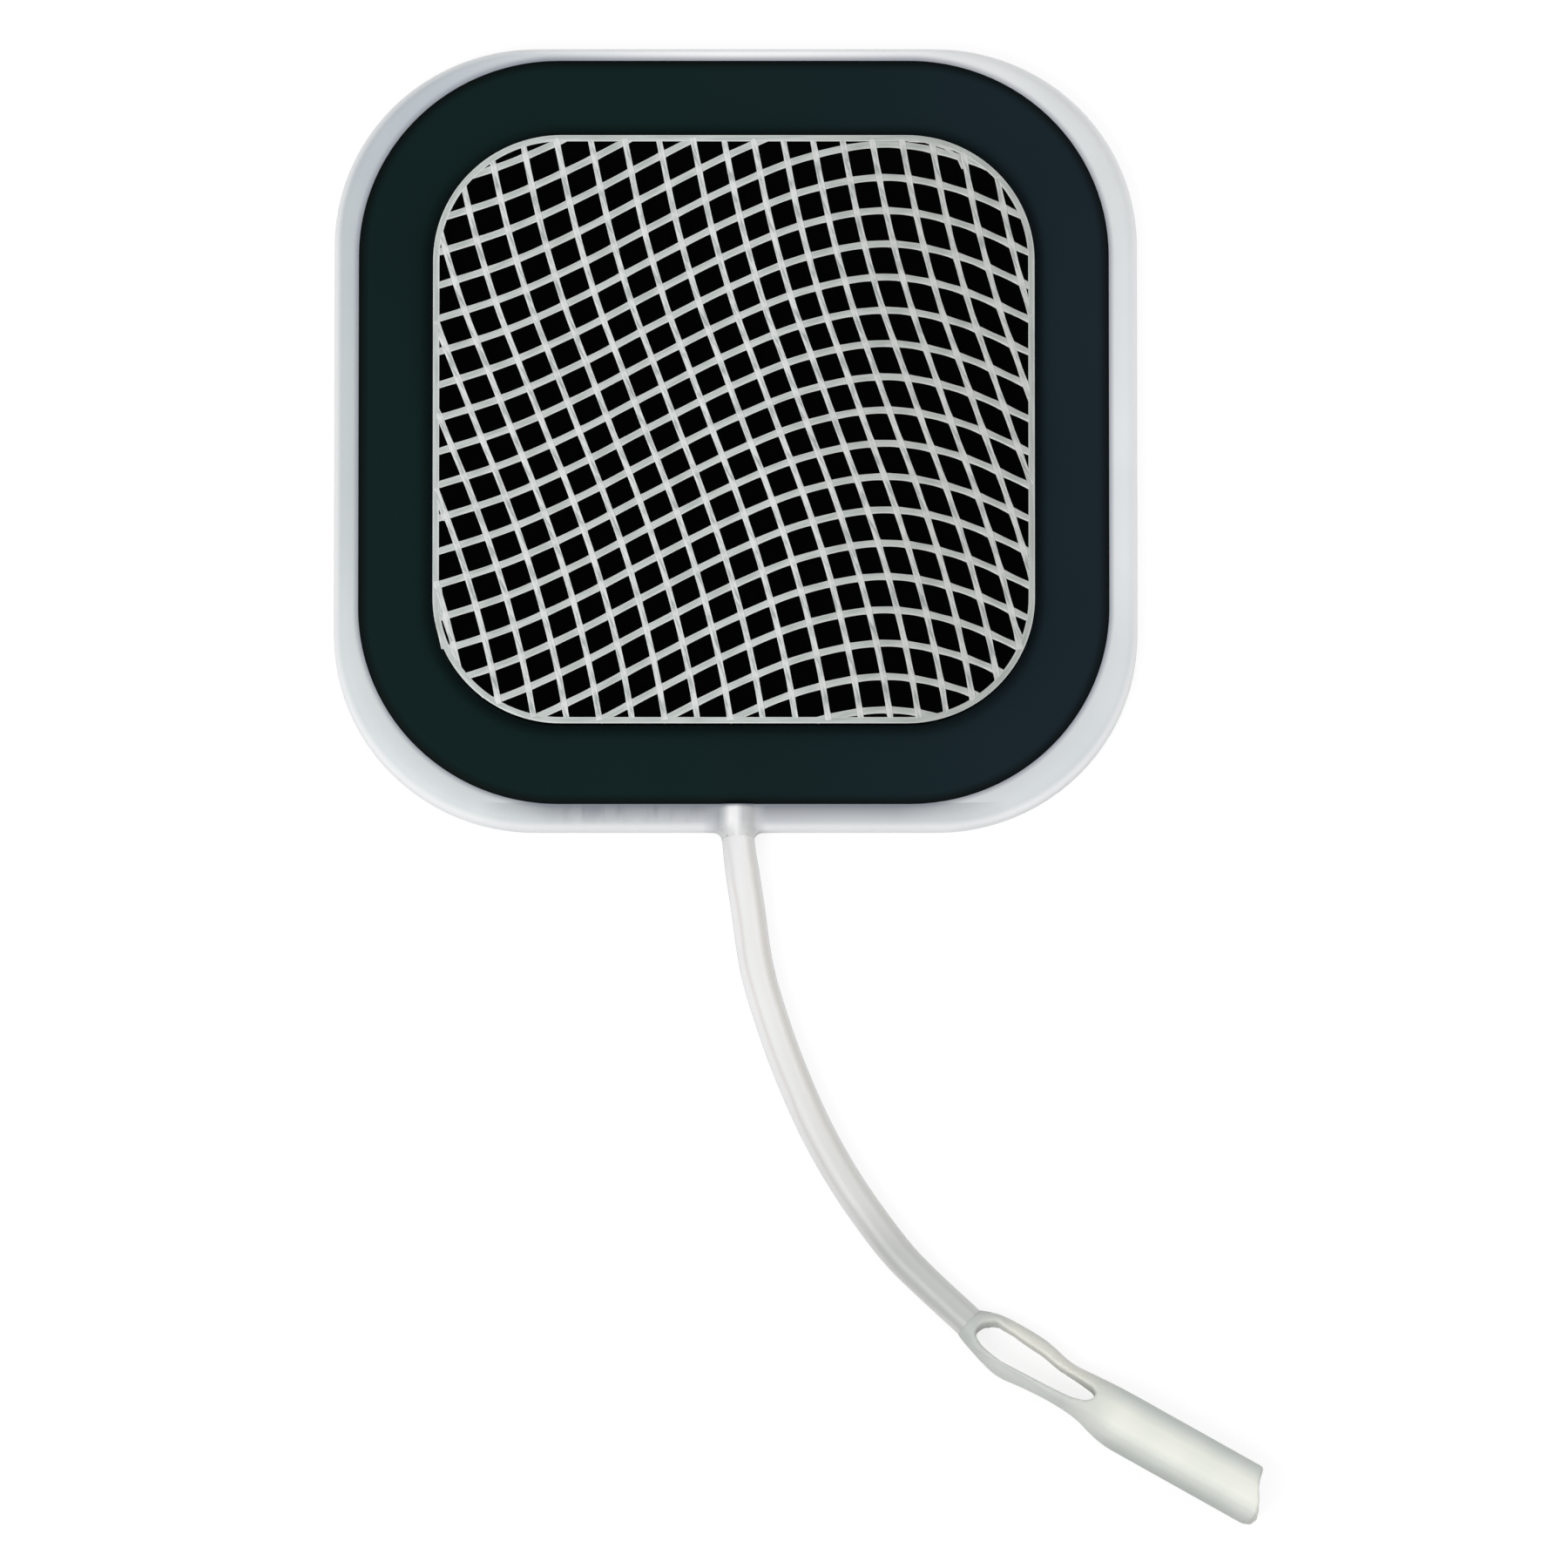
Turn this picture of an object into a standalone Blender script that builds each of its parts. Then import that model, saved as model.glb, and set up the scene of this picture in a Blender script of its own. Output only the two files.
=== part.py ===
# Self-adhesive electrode pad with a short moulded pigtail lead.
#
# The pad lies on its back, skin side up. Units are metres and +Z is up. The lead leaves the
# pad towards -Y and ends in a socket connector that lies on the same surface. The origin is
# at the bottom centre of the pad, without the lead.

import math

import bmesh
import bpy
from mathutils import Vector
from mathutils.geometry import delaunay_2d_cdt

MM = 0.001

# Pad outline, and the backing's section
PAD_WIDTH = 50.0 * MM
PAD_LENGTH = 49.6 * MM
PAD_CORNER = 12.5 * MM
SEAT_HEIGHT = 1.5 * MM
RIM_SIDE_HEIGHT = 1.2 * MM
RIM_HEIGHT = 1.9 * MM
BACK_EDGE_ROUND = 0.25 * MM
CORNER_STEPS = 10

# The rim's bead as (share of the way in from the pad's edge, share of the bead's height)
RIM_BEAD = ((0.0, 0.0), (0.06, 0.45), (0.2, 0.82), (0.42, 1.0), (0.7, 0.9), (1.0, 0.6))

# Rim left around the carbon film, which lies a little towards the side away from the lead
RIM_LEFT = 1.53 * MM
RIM_RIGHT = 1.77 * MM
RIM_FAR = 0.82 * MM
RIM_LEAD = 1.58 * MM
FILM_CORNER_LESS = 0.1 * MM
FILM_THICKNESS = 0.17 * MM
FILM_EDGE_ROUND = 0.05 * MM
FILM_SIDE_CLEARANCE = 0.05 * MM
BOND_LINE = 0.03 * MM

# Band of film left around the hydrogel patch
BAND_SIDES = 4.6 * MM
BAND_ENDS = 4.9 * MM
GEL_CORNER_LESS = 4.4 * MM
GEL_THICKNESS = 0.7 * MM
GEL_EDGE_ROUND = 0.2 * MM

# Net on the gel
NET_INSET = 0.1 * MM
NET_THICKNESS = 0.25 * MM
WEB_THICKNESS = 0.07 * MM
BORDER_STRAND = 0.45 * MM
WEFT_WIDTH = 0.5 * MM
WARP_WIDTH = 0.4 * MM
WEFT_PITCH = 2.114 * MM
WARP_PITCH_WIDE = 2.08 * MM
WARP_PITCH_CLOSE = 1.8 * MM
WARP_CLOSE_START = 0.36 * MM
FIRST_WARP = 0.82 * MM
CREST_WEFT = 1.2 * MM
SMALLEST_CELL = 0.12 * MM * MM
OPEN_EVERY = 3

# How the net was pulled out of true when it was laid down, in steps of one millimetre from its
# middle: (x, how far the wefts lie below their crest) and (y, how far the warps lie to the left)
NET_STEP = 1.0 * MM
WEFT_FALL = ((-19, 11.3), (-14, 9.65), (-9.5, 7.6), (-5, 5.2), (0, 2.65), (4.5, 0.85),
             (9.4, 0.0), (14, 0.8), (19, 2.95))
WARP_LEAN = ((-19, -5.3), (-15.6, -4.7), (-11.7, -3.8), (-8, -2.75), (-4, -1.4), (0, 0.1),
             (4, 1.55), (8, 2.95), (13, 4.3), (19, 5.5))
LEAN_LOSS = 0.0045
LEAN_ROUNDS = 8
WHOLE_CELL = 0.99

# Lead: an insulated wire, its bare strands under the film, and its bare core
LEAD_RADIUS = 1.0 * MM
LEAD_CLEARANCE = 0.05 * MM
LEAD_GAP = 0.3 * MM
LEAD_POINT_SPACING = 4.0 * MM
ROUTE_STEPS = 20
EXIT_X = 0.15 * MM
EXIT_HEIGHT = 1.2 * MM
EXIT_FLARE = 0.55 * MM
EXIT_FLARE_WALL = 0.25 * MM
EXIT_FLARE_HEIGHT = 1.55 * MM
FLARE_STEPS = 5
GROOVE_SIDES = 24

# Strands under the film
STRAND_COUNT = 7
STRAND_WIDTH = 0.22 * MM
STRAND_THICKNESS = 0.14 * MM
STRAND_LENGTH = 17.0 * MM
STRAND_ROOT_WIDTH = 1.3 * MM
STRAND_ROOT_LENGTH = 3.0 * MM
STRAND_ANGLE = math.radians(7.0)
STRAND_CLEARANCE = 0.1 * MM
STRAND_POCKET_DEPTH = 0.2 * MM

# Connector, along its own axis from the wire's end to the mouth
CONNECTOR_PLACE = Vector((14.49, -55.58)) * MM
CONNECTOR_ANGLE = math.radians(-29.65)
WIRE_ANGLE = math.radians(-43.5)
WIRE_TURN_LENGTH = 2.5 * MM
FLOOR_CLEARANCE = 0.02 * MM
BODY_OFFSET = -0.89 * MM
BODY_HALF_WIDTH = 1.82 * MM
BODY_HALF_HEIGHT = 1.78 * MM
BODY_START = 11.5 * MM
BODY_END = 22.2 * MM
SECTION_SIDES = 20
SECTION_SPACING = 0.6 * MM

# Strain relief in millimetres: (along, left side, right side, half height) up to the body
RELIEF_SECTIONS = ((0, 1.0, -1.0, 1.0), (1.1, 1.33, -1.45, 1.0), (3.0, 1.42, -2.04, 1.0),
                   (4.85, 1.32, -1.92, 1.02), (6.75, 0.88, -1.85, 1.12), (8.65, 0.9, -2.02, 1.38),
                   (10.2, 0.93, -2.5, 1.66))

# The slot in it: (along, left side, right side)
SLOT_SECTIONS = ((0.62, -0.2, -0.35), (0.85, 0.22, -0.6), (1.5, 0.6, -0.85), (2.9, 0.8, -1.05),
                 (4.9, 0.66, -1.04), (6.3, 0.36, -1.06), (7.9, 0.2, -1.02), (8.8, 0.06, -0.9),
                 (9.2, -0.2, -0.65))

# The mouth is trimmed at a slant with one rounded corner: (along, across)
MOUTH_TRIM = ((20.3, 1.3), (20.38, 0.9), (20.45, 0.4), (20.66, -0.16), (20.95, -0.72),
              (21.3, -1.25), (21.5, -1.9), (21.35, -2.4), (20.9, -2.66), (20.4, -2.8),
              (20.2, -3.2))

# Contact inside the connector, for a 2 mm pin
PIN_BORE_RADIUS = 1.05 * MM
CONTACT_RADIUS = 1.35 * MM
CONTACT_CLEARANCE = 0.05 * MM
CONTACT_REAR = 10.75 * MM
CONTACT_FRONT = 19.5 * MM
CONTACT_LEAD_IN = 0.08 * MM
BORE_BOTTOM = 11.4 * MM
TAIL_RADIUS = 0.6 * MM
TAIL_REAR = 9.95 * MM
CORE_RADIUS = 0.2 * MM
CORE_CLEARANCE = 0.05 * MM
CORE_POINT_SPACING = 1.0 * MM
CORE_SIDES = 10

# Routes, in millimetres. The lead's is on the surface, the core's is in the connector's frame.
LEAD_ROUTE = ((0.16, -25.6, 1.2), (0.34, -27.4, 1.14), (0.79, -29.35, 1.05), (1.44, -33.28, 1.02),
              (2.46, -36.8, 1.02), (3.6, -39.95, 1.02), (5.06, -43.3, 1.02), (6.69, -46.3, 1.02),
              (8.42, -48.95, 1.02), (10.27, -51.38, 1.02), (12.11, -53.31, 1.02))
CORE_ROUTE = ((0.05, -0.3, 1.0), (0.4, -0.74, 1.0), (0.9, -1.04, 1.0), (1.6, -1.3, 1.0),
              (3.0, -1.55, 1.0), (4.85, -1.48, 1.02), (6.75, -1.45, 1.12), (8.4, -1.45, 1.4),
              (9.2, -1.2, 1.66), (9.85, -0.89, 1.8))

# The origin is under the middle of the pad with its flare
PAD_MIDDLE = Vector((0.0, EXIT_FLARE / 2))
FILM_MIDDLE = PAD_MIDDLE + Vector((RIM_LEFT - RIM_RIGHT, RIM_LEAD - RIM_FAR)) / 2
FILM_WIDTH = PAD_WIDTH - RIM_LEFT - RIM_RIGHT
FILM_LENGTH = PAD_LENGTH - RIM_LEAD - RIM_FAR
FILM_CORNER = PAD_CORNER - FILM_CORNER_LESS
GEL_WIDTH = FILM_WIDTH - 2 * BAND_SIDES
GEL_LENGTH = FILM_LENGTH - 2 * BAND_ENDS
GEL_CORNER = FILM_CORNER - GEL_CORNER_LESS
FILM_BASE = SEAT_HEIGHT + BOND_LINE
GEL_BASE = FILM_BASE + FILM_THICKNESS + BOND_LINE
NET_BASE = GEL_BASE + GEL_THICKNESS + BOND_LINE
BODY_HEIGHT = FLOOR_CLEARANCE + BODY_HALF_HEIGHT


def clear_scene():
    for old in list(bpy.data.objects):
        bpy.data.objects.remove(old, do_unlink=True)


def make_material(name, colour, roughness, metallic=0.0):
    material = bpy.data.materials.new(name)
    material.use_nodes = True
    shader = material.node_tree.nodes["Principled BSDF"]
    shader.inputs["Base Color"].default_value = (*colour, 1.0)
    shader.inputs["Roughness"].default_value = roughness
    shader.inputs["Metallic"].default_value = metallic
    return material


def add_object(name, data, material=None):
    piece = bpy.data.objects.new(name, data)
    bpy.context.scene.collection.objects.link(piece)
    if material:
        data.materials.append(material)
    return piece


def add_mesh(name, form, material=None, smooth_angle=35):
    """Turn a bmesh into an object, with its faces out and its round parts smooth."""
    bmesh.ops.recalc_face_normals(form, faces=form.faces)
    mesh = bpy.data.meshes.new(name)
    form.to_mesh(mesh)
    form.free()
    mesh.shade_smooth()
    mesh.set_sharp_from_angle(angle=math.radians(smooth_angle))
    return add_object(name, mesh, material)


def loft(name, rings, material=None, smooth_angle=35):
    """Skin rings of equal counts and close both ends."""
    form = bmesh.new()
    loops = [[form.verts.new(point) for point in ring] for ring in rings]
    for lower, upper in zip(loops, loops[1:]):
        for place in range(len(lower)):
            after = (place + 1) % len(lower)
            form.faces.new((lower[place], lower[after], upper[after], upper[place]))
    form.faces.new(loops[0])
    form.faces.new(loops[-1])
    return add_mesh(name, form, material, smooth_angle)


def cut(piece, cutter, operation="DIFFERENCE"):
    cutter.hide_render = True
    cutter.display_type = "WIRE"
    change = piece.modifiers.new(cutter.name, "BOOLEAN")
    change.operation = operation
    change.solver = "EXACT"
    change.object = cutter


def smooth_value(stations, place, column=1):
    """Read a smooth curve through hand-picked stations, each (place, value, ...)."""
    places = [station[0] for station in stations]
    values = [station[column] for station in stations]
    if place <= places[0]:
        return values[0]
    if place >= places[-1]:
        return values[-1]
    after = next(count for count, known in enumerate(places) if known > place)
    before = after - 1

    def slope(count):
        low = max(count - 1, 0)
        high = min(count + 1, len(places) - 1)
        return (values[high] - values[low]) / (places[high] - places[low])

    width = places[after] - places[before]
    share = (place - places[before]) / width
    return ((2 * share ** 3 - 3 * share ** 2 + 1) * values[before]
            + (share ** 3 - 2 * share ** 2 + share) * width * slope(before)
            + (3 * share ** 2 - 2 * share ** 3) * values[after]
            + (share ** 3 - share ** 2) * width * slope(after))


def rounded_outline(width, length, corner, middle, inset=0.0):
    """Points of a rounded rectangle, anticlockwise, moved inwards by the inset."""
    points = []
    for turn, (side_x, side_y) in enumerate(((1, 1), (-1, 1), (-1, -1), (1, -1))):
        centre = middle + Vector((side_x * (width / 2 - corner), side_y * (length / 2 - corner)))
        for step in range(CORNER_STEPS + 1):
            angle = math.radians(90) * (turn + step / CORNER_STEPS)
            points.append(centre + (corner - inset) * Vector((math.cos(angle), math.sin(angle))))
    return points


def level(outline, height):
    return [Vector((point.x, point.y, height)) for point in outline]


def prism(name, outline, low, high, material=None):
    return loft(name, [level(outline, low), level(outline, high)], material)


def pad_outline(inset=0.0):
    return rounded_outline(PAD_WIDTH, PAD_LENGTH, PAD_CORNER, PAD_MIDDLE, inset)


def film_outline(inset=0.0):
    return rounded_outline(FILM_WIDTH, FILM_LENGTH, FILM_CORNER, FILM_MIDDLE, inset)


def gel_outline(inset=0.0):
    return rounded_outline(GEL_WIDTH, GEL_LENGTH, GEL_CORNER, FILM_MIDDLE, inset)


def pad_front():
    return PAD_MIDDLE.y - PAD_LENGTH / 2


def film_front():
    return FILM_MIDDLE.y - FILM_LENGTH / 2


def make_backing(material):
    """Soft backing: a flat back, a raised rim bead and a shallow seat for the film."""
    outer = pad_outline()
    inner = film_outline(-FILM_SIDE_CLEARANCE)
    rings = [level(pad_outline(BACK_EDGE_ROUND), 0.0), level(outer, BACK_EDGE_ROUND)]
    for share, rise in RIM_BEAD:
        height = RIM_SIDE_HEIGHT + rise * (RIM_HEIGHT - RIM_SIDE_HEIGHT)
        rings.append(level([near.lerp(far, share) for near, far in zip(outer, inner)], height))
    rings.append(level(inner, SEAT_HEIGHT))
    backing = loft("foam_backing", rings, material)
    cut(backing, make_exit_flare(), "UNION")
    cut(backing, make_lead_groove())
    cut(backing, make_strand_pocket())
    return backing


def make_exit_flare():
    """The small flares of the rim that run out along both sides of the lead."""
    half_width = LEAD_RADIUS + EXIT_FLARE_WALL
    edge = pad_front()
    right = [Vector((half_width + EXIT_FLARE, edge + EXIT_FLARE))]
    for step in range(FLARE_STEPS + 1):
        angle = math.radians(90) * (1 + step / FLARE_STEPS)
        right.append(Vector((half_width + EXIT_FLARE, edge - EXIT_FLARE))
                     + EXIT_FLARE * Vector((math.cos(angle), math.sin(angle))))
    left = [Vector((-point.x, point.y)) for point in reversed(right)]
    outline = [point + Vector((EXIT_X, 0)) for point in right + left]
    return prism("exit_flare", outline, BOND_LINE, EXIT_FLARE_HEIGHT)


def make_lead_groove():
    """The bed that the lead's end lies in, from the film's edge out through the rim."""
    radius = LEAD_RADIUS + LEAD_CLEARANCE
    rings = []
    for end in (film_front() + LEAD_CLEARANCE, pad_front() - 2 * EXIT_FLARE):
        turn = [math.tau * (side + 0.5) / GROOVE_SIDES for side in range(GROOVE_SIDES)]
        rings.append([Vector((EXIT_X + radius * math.cos(angle), end,
                              EXIT_HEIGHT + radius * math.sin(angle))) for angle in turn])
    return loft("lead_groove", rings)


def strand_root():
    return Vector((EXIT_X, film_front() - LEAD_CLEARANCE / 2))


def make_strand_pocket():
    """The shallow pocket in the seat for the fanned strands, open to the lead's bed."""
    root = strand_root()
    near = STRAND_ROOT_WIDTH / 2 + STRAND_CLEARANCE
    spread = STRAND_ANGLE * (STRAND_COUNT - 1) / 2
    far = near + math.tan(spread) * STRAND_LENGTH + STRAND_WIDTH
    start = root.y - LEAD_CLEARANCE
    end = root.y + STRAND_LENGTH + STRAND_CLEARANCE
    right = [(near, start), (near, root.y), (far, end)]
    left = [(-x, y) for x, y in reversed(right)]
    outline = [Vector((root.x + x, y)) for x, y in right + left]
    floor = SEAT_HEIGHT - STRAND_POCKET_DEPTH
    return prism("strand_pocket", outline, floor, SEAT_HEIGHT + FILM_THICKNESS)


def make_conductor_fan(material):
    """The lead's bare strands, pressed flat and fanned out from one root."""
    root = strand_root() + Vector((0, LEAD_CLEARANCE))
    outline = [root + Vector((STRAND_ROOT_WIDTH / 2, 0)), root + Vector((-STRAND_ROOT_WIDTH / 2, 0))]
    for count in range(STRAND_COUNT):
        angle = STRAND_ANGLE * ((STRAND_COUNT - 1) / 2 - count)
        along = Vector((-math.sin(angle), math.cos(angle)))
        across = Vector((along.y, -along.x)) * STRAND_WIDTH / 2
        start = root + along * STRAND_ROOT_LENGTH
        tip = root + along * STRAND_LENGTH
        outline += [start - across, tip - across, tip + across, start + across]
    low = SEAT_HEIGHT - STRAND_POCKET_DEPTH + BOND_LINE
    return prism("conductor_fan", outline, low, low + STRAND_THICKNESS, material)


def make_film(material):
    top = FILM_BASE + FILM_THICKNESS
    rings = [level(film_outline(), FILM_BASE), level(film_outline(), top - FILM_EDGE_ROUND),
             level(film_outline(FILM_EDGE_ROUND), top)]
    return loft("carbon_film", rings, material)


def make_gel(material):
    """Gel patch with a soft, slightly bulging edge."""
    rings = [level(gel_outline(GEL_EDGE_ROUND / 2), GEL_BASE),
             level(gel_outline(), GEL_BASE + GEL_EDGE_ROUND)]
    top = GEL_BASE + GEL_THICKNESS
    for angle in (0, 30, 60, 90):
        turn = math.radians(angle)
        inset = GEL_EDGE_ROUND * (1 - math.cos(turn))
        rings.append(level(gel_outline(inset), top - GEL_EDGE_ROUND * (1 - math.sin(turn))))
    return loft("hydrogel", rings, material)


def warp_start(warp):
    """Where a warp crosses the net's middle line; they lie closer together on the right."""
    return min(warp * WARP_PITCH_WIDE, warp * WARP_PITCH_CLOSE + WARP_CLOSE_START) + FIRST_WARP


def net_crossing(warp, weft):
    """Where two strands cross, from the net's middle."""
    x = warp_start(warp)
    y = 0.0
    for _ in range(LEAN_ROUNDS):
        y = CREST_WEFT + weft * WEFT_PITCH - smooth_value(WEFT_FALL, x / NET_STEP) * NET_STEP
        lean = smooth_value(WARP_LEAN, y / NET_STEP) * NET_STEP * (1 - LEAN_LOSS * x / NET_STEP)
        x = warp_start(warp) - lean
    return Vector((x, y))


def inset_polygon(corners, insets):
    """Move each side of a small anticlockwise polygon inwards by its own inset."""
    lines = []
    for count, corner in enumerate(corners):
        along = (corners[(count + 1) % len(corners)] - corner).normalized()
        lines.append((corner + Vector((-along.y, along.x)) * insets[count], along))
    moved = []
    for count, (start, along) in enumerate(lines):
        before_start, before_along = lines[count - 1]
        cross = before_along.x * along.y - before_along.y * along.x
        reach = start - before_start
        moved.append(before_start + before_along * ((reach.x * along.y - reach.y * along.x) / cross))
    return moved


def clip_polygon(polygon, fence):
    """Keep what lies inside a convex anticlockwise fence."""
    for start, end in zip(fence, fence[1:] + fence[:1]):
        along = end - start
        kept = []
        for near, far in zip(polygon, polygon[1:] + polygon[:1]):
            near_side = along.cross(near - start)
            far_side = along.cross(far - start)
            if near_side >= 0:
                kept.append(near)
            if near_side * far_side < 0:
                kept.append(near.lerp(far, near_side / (near_side - far_side)))
        polygon = kept
        if len(polygon) < 3:
            return []
    return polygon


def polygon_area(polygon):
    return sum(near.cross(far) for near, far in zip(polygon, polygon[1:] + polygon[:1])) / 2


def net_cells():
    """The net's cells as polygons, with True where the cell is cut right through."""
    inset = NET_INSET + BORDER_STRAND
    fence = [point - FILM_MIDDLE for point in gel_outline(inset)]
    reach_x = int(GEL_WIDTH / WARP_PITCH_CLOSE)
    reach_y = int(GEL_LENGTH / WEFT_PITCH) + 4
    cells = []
    for warp in range(-reach_x, reach_x + 1):
        for weft in range(-reach_y, reach_y + 1):
            corners = [net_crossing(warp, weft), net_crossing(warp + 1, weft),
                       net_crossing(warp + 1, weft + 1), net_crossing(warp, weft + 1)]
            half_weft = WEFT_WIDTH / 2
            half_warp = WARP_WIDTH / 2
            cell = inset_polygon(corners, (half_weft, half_warp, half_weft, half_warp))
            whole = polygon_area(cell)
            cell = clip_polygon(cell, fence)
            if len(cell) < 3 or polygon_area(cell) < SMALLEST_CELL:
                continue
            clipped = polygon_area(cell) < WHOLE_CELL * whole
            cells.append((cell, (warp + weft) % OPEN_EVERY == 0 and not clipped))
    return cells


def make_net(material):
    """The net as one wall: raised strands, thin webs between them and rows of open cells."""
    outline = [point - FILM_MIDDLE for point in gel_outline(NET_INSET)]
    cells = net_cells()
    points = list(outline)
    faces = [list(range(len(outline)))]
    for cell, _ in cells:
        faces.append(list(range(len(points), len(points) + len(cell))))
        points += cell
    flat_points, _, flat_faces, _, _, sources = delaunay_2d_cdt(
        [point / NET_STEP for point in points], [], faces, 1, 1e-6, True)

    open_cell, web, strand = 0, 1, 2
    heights = {web: WEB_THICKNESS, strand: NET_THICKNESS}
    kinds = []
    for source in sources:
        inner = [count for count in source if count > 0]
        if inner:
            kinds.append(open_cell if cells[inner[0] - 1][1] else web)
        else:
            kinds.append(strand)

    form = bmesh.new()
    made = {}

    def corner(count, height):
        if (count, height) not in made:
            place = Vector(flat_points[count]) * NET_STEP + FILM_MIDDLE
            made[count, height] = form.verts.new((place.x, place.y, NET_BASE + height))
        return made[count, height]

    side_of = {}
    for face, kind in zip(flat_faces, kinds):
        if kind != open_cell:
            form.faces.new([corner(count, heights[kind]) for count in face])
            form.faces.new([corner(count, 0.0) for count in reversed(face)])
        for near, far in zip(face, face[1:] + face[:1]):
            side_of[near, far] = kind
    for (near, far), kind in side_of.items():
        other = side_of.get((far, near), open_cell)
        if kind == open_cell or heights[kind] <= heights.get(other, 0.0):
            continue
        low = heights.get(other, 0.0)
        high = heights[kind]
        form.faces.new((corner(near, high), corner(near, low), corner(far, low), corner(far, high)))
    return add_mesh("scrim_net", form, material, smooth_angle=30)


def route_points(route, spacing):
    """Evenly spaced points on a smooth curve through a hand-picked route."""
    joints = [Vector(point) * MM for point in route]
    fine = []
    for count in range(len(joints) - 1):
        before = joints[max(count - 1, 0)]
        start, end = joints[count], joints[count + 1]
        after = joints[min(count + 2, len(joints) - 1)]
        for step in range(ROUTE_STEPS):
            share = step / ROUTE_STEPS
            fine.append(0.5 * (2 * start + (end - before) * share
                               + (2 * before - 5 * start + 4 * end - after) * share ** 2
                               + (3 * start - before - 3 * end + after) * share ** 3))
    fine.append(joints[-1])
    lengths = [0.0]
    for near, far in zip(fine, fine[1:]):
        lengths.append(lengths[-1] + (far - near).length)
    count = max(2, round(lengths[-1] / spacing))
    points = []
    for step in range(count + 1):
        want = lengths[-1] * step / count
        place = next(number for number, length in enumerate(lengths) if length >= want - 1e-9)
        if place == 0:
            points.append(fine[0])
            continue
        gap = lengths[place] - lengths[place - 1]
        points.append(fine[place - 1].lerp(fine[place], (want - lengths[place - 1]) / gap))
    return points


def tube(name, points, radius, material=None):
    curve = bpy.data.curves.new(name, "CURVE")
    curve.dimensions = "3D"
    curve.bevel_depth = radius
    curve.bevel_resolution = 2
    curve.use_fill_caps = True
    line = curve.splines.new("POLY")
    line.points.add(len(points) - 1)
    for knot, point in zip(line.points, points):
        knot.co = (*point, 1.0)
    return add_object(name, curve, material)


def make_lead(material):
    """The insulated wire from its bed in the rim to the connector's rear face."""
    inner = Vector((EXIT_X, film_front() - LEAD_CLEARANCE - BOND_LINE, EXIT_HEIGHT)) / MM
    facing = Vector((math.cos(WIRE_ANGLE), math.sin(WIRE_ANGLE)))
    end = (CONNECTOR_PLACE - facing * LEAD_GAP) / MM
    outer = (end.x, end.y, (FLOOR_CLEARANCE + LEAD_RADIUS) / MM)
    route = (tuple(inner),) + LEAD_ROUTE + (outer,)
    return tube("lead_wire", route_points(route, LEAD_POINT_SPACING), LEAD_RADIUS, material)


def connector_point(along, across, height):
    """A point given in the connector's own frame."""
    ahead = Vector((math.cos(CONNECTOR_ANGLE), math.sin(CONNECTOR_ANGLE)))
    left = Vector((-ahead.y, ahead.x))
    place = CONNECTOR_PLACE + ahead * along + left * across
    return Vector((place.x, place.y, height))


def connector_ring(along, left, right, half_height, facing=0.0):
    """An oval section that stands on the surface, turned by its facing angle."""
    middle = (left + right) / 2
    half_width = (left - right) / 2
    ring = []
    for side in range(SECTION_SIDES):
        angle = math.tau * side / SECTION_SIDES
        across = half_width * math.cos(angle)
        height = FLOOR_CLEARANCE + half_height * (1 + math.sin(angle))
        turned = (along - across * math.sin(facing), middle + across * math.cos(facing))
        ring.append(connector_point(*turned, height))
    return ring


def make_housing(material):
    """Moulded connector: an eye-shaped strain relief that swells into a round body."""
    section = ((BODY_OFFSET + BODY_HALF_WIDTH) / MM, (BODY_OFFSET - BODY_HALF_WIDTH) / MM,
               BODY_HALF_HEIGHT / MM)
    stations = RELIEF_SECTIONS + ((BODY_START / MM, *section), (BODY_END / MM, *section))
    steps = round(BODY_START / SECTION_SPACING)
    places = [BODY_START * step / steps for step in range(steps + 1)] + [BODY_END]
    rings = []
    for along in places:
        left, right, half_height = (smooth_value(stations, along / MM, column) * MM
                                    for column in (1, 2, 3))
        turn = max(0.0, 1 - along / WIRE_TURN_LENGTH) * (WIRE_ANGLE - CONNECTOR_ANGLE)
        rings.append(connector_ring(along, left, right, half_height, turn))
    housing = loft("connector_housing", rings, material)
    cut(housing, make_relief_slot())
    cut(housing, make_contact_chamber())
    cut(housing, make_core("core_channel", CORE_RADIUS + CORE_CLEARANCE))
    cut(housing, make_mouth_trim())
    return housing


def make_relief_slot():
    left = [connector_point(along * MM, across * MM, 0) for along, across, _ in SLOT_SECTIONS]
    right = [connector_point(along * MM, across * MM, 0) for along, _, across in SLOT_SECTIONS]
    outline = [point.xy for point in right + left[::-1]]
    return prism("relief_slot", outline, -BODY_HALF_HEIGHT, 3 * BODY_HALF_HEIGHT)


def make_mouth_trim():
    outline = [connector_point(along * MM, across * MM, 0).xy for along, across in MOUTH_TRIM]
    past = BODY_END + BODY_HALF_WIDTH
    outline += [connector_point(past, across * MM, 0).xy
                for across in (MOUTH_TRIM[-1][1], MOUTH_TRIM[0][1])]
    return prism("mouth_trim", outline[::-1], -BODY_HALF_HEIGHT, 3 * BODY_HALF_HEIGHT)


def axis_ring(along, radius):
    """A round section about the body's axis."""
    ring = []
    for side in range(SECTION_SIDES):
        angle = math.tau * side / SECTION_SIDES
        ring.append(connector_point(along, BODY_OFFSET + radius * math.cos(angle),
                                    BODY_HEIGHT + radius * math.sin(angle)))
    return ring


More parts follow.
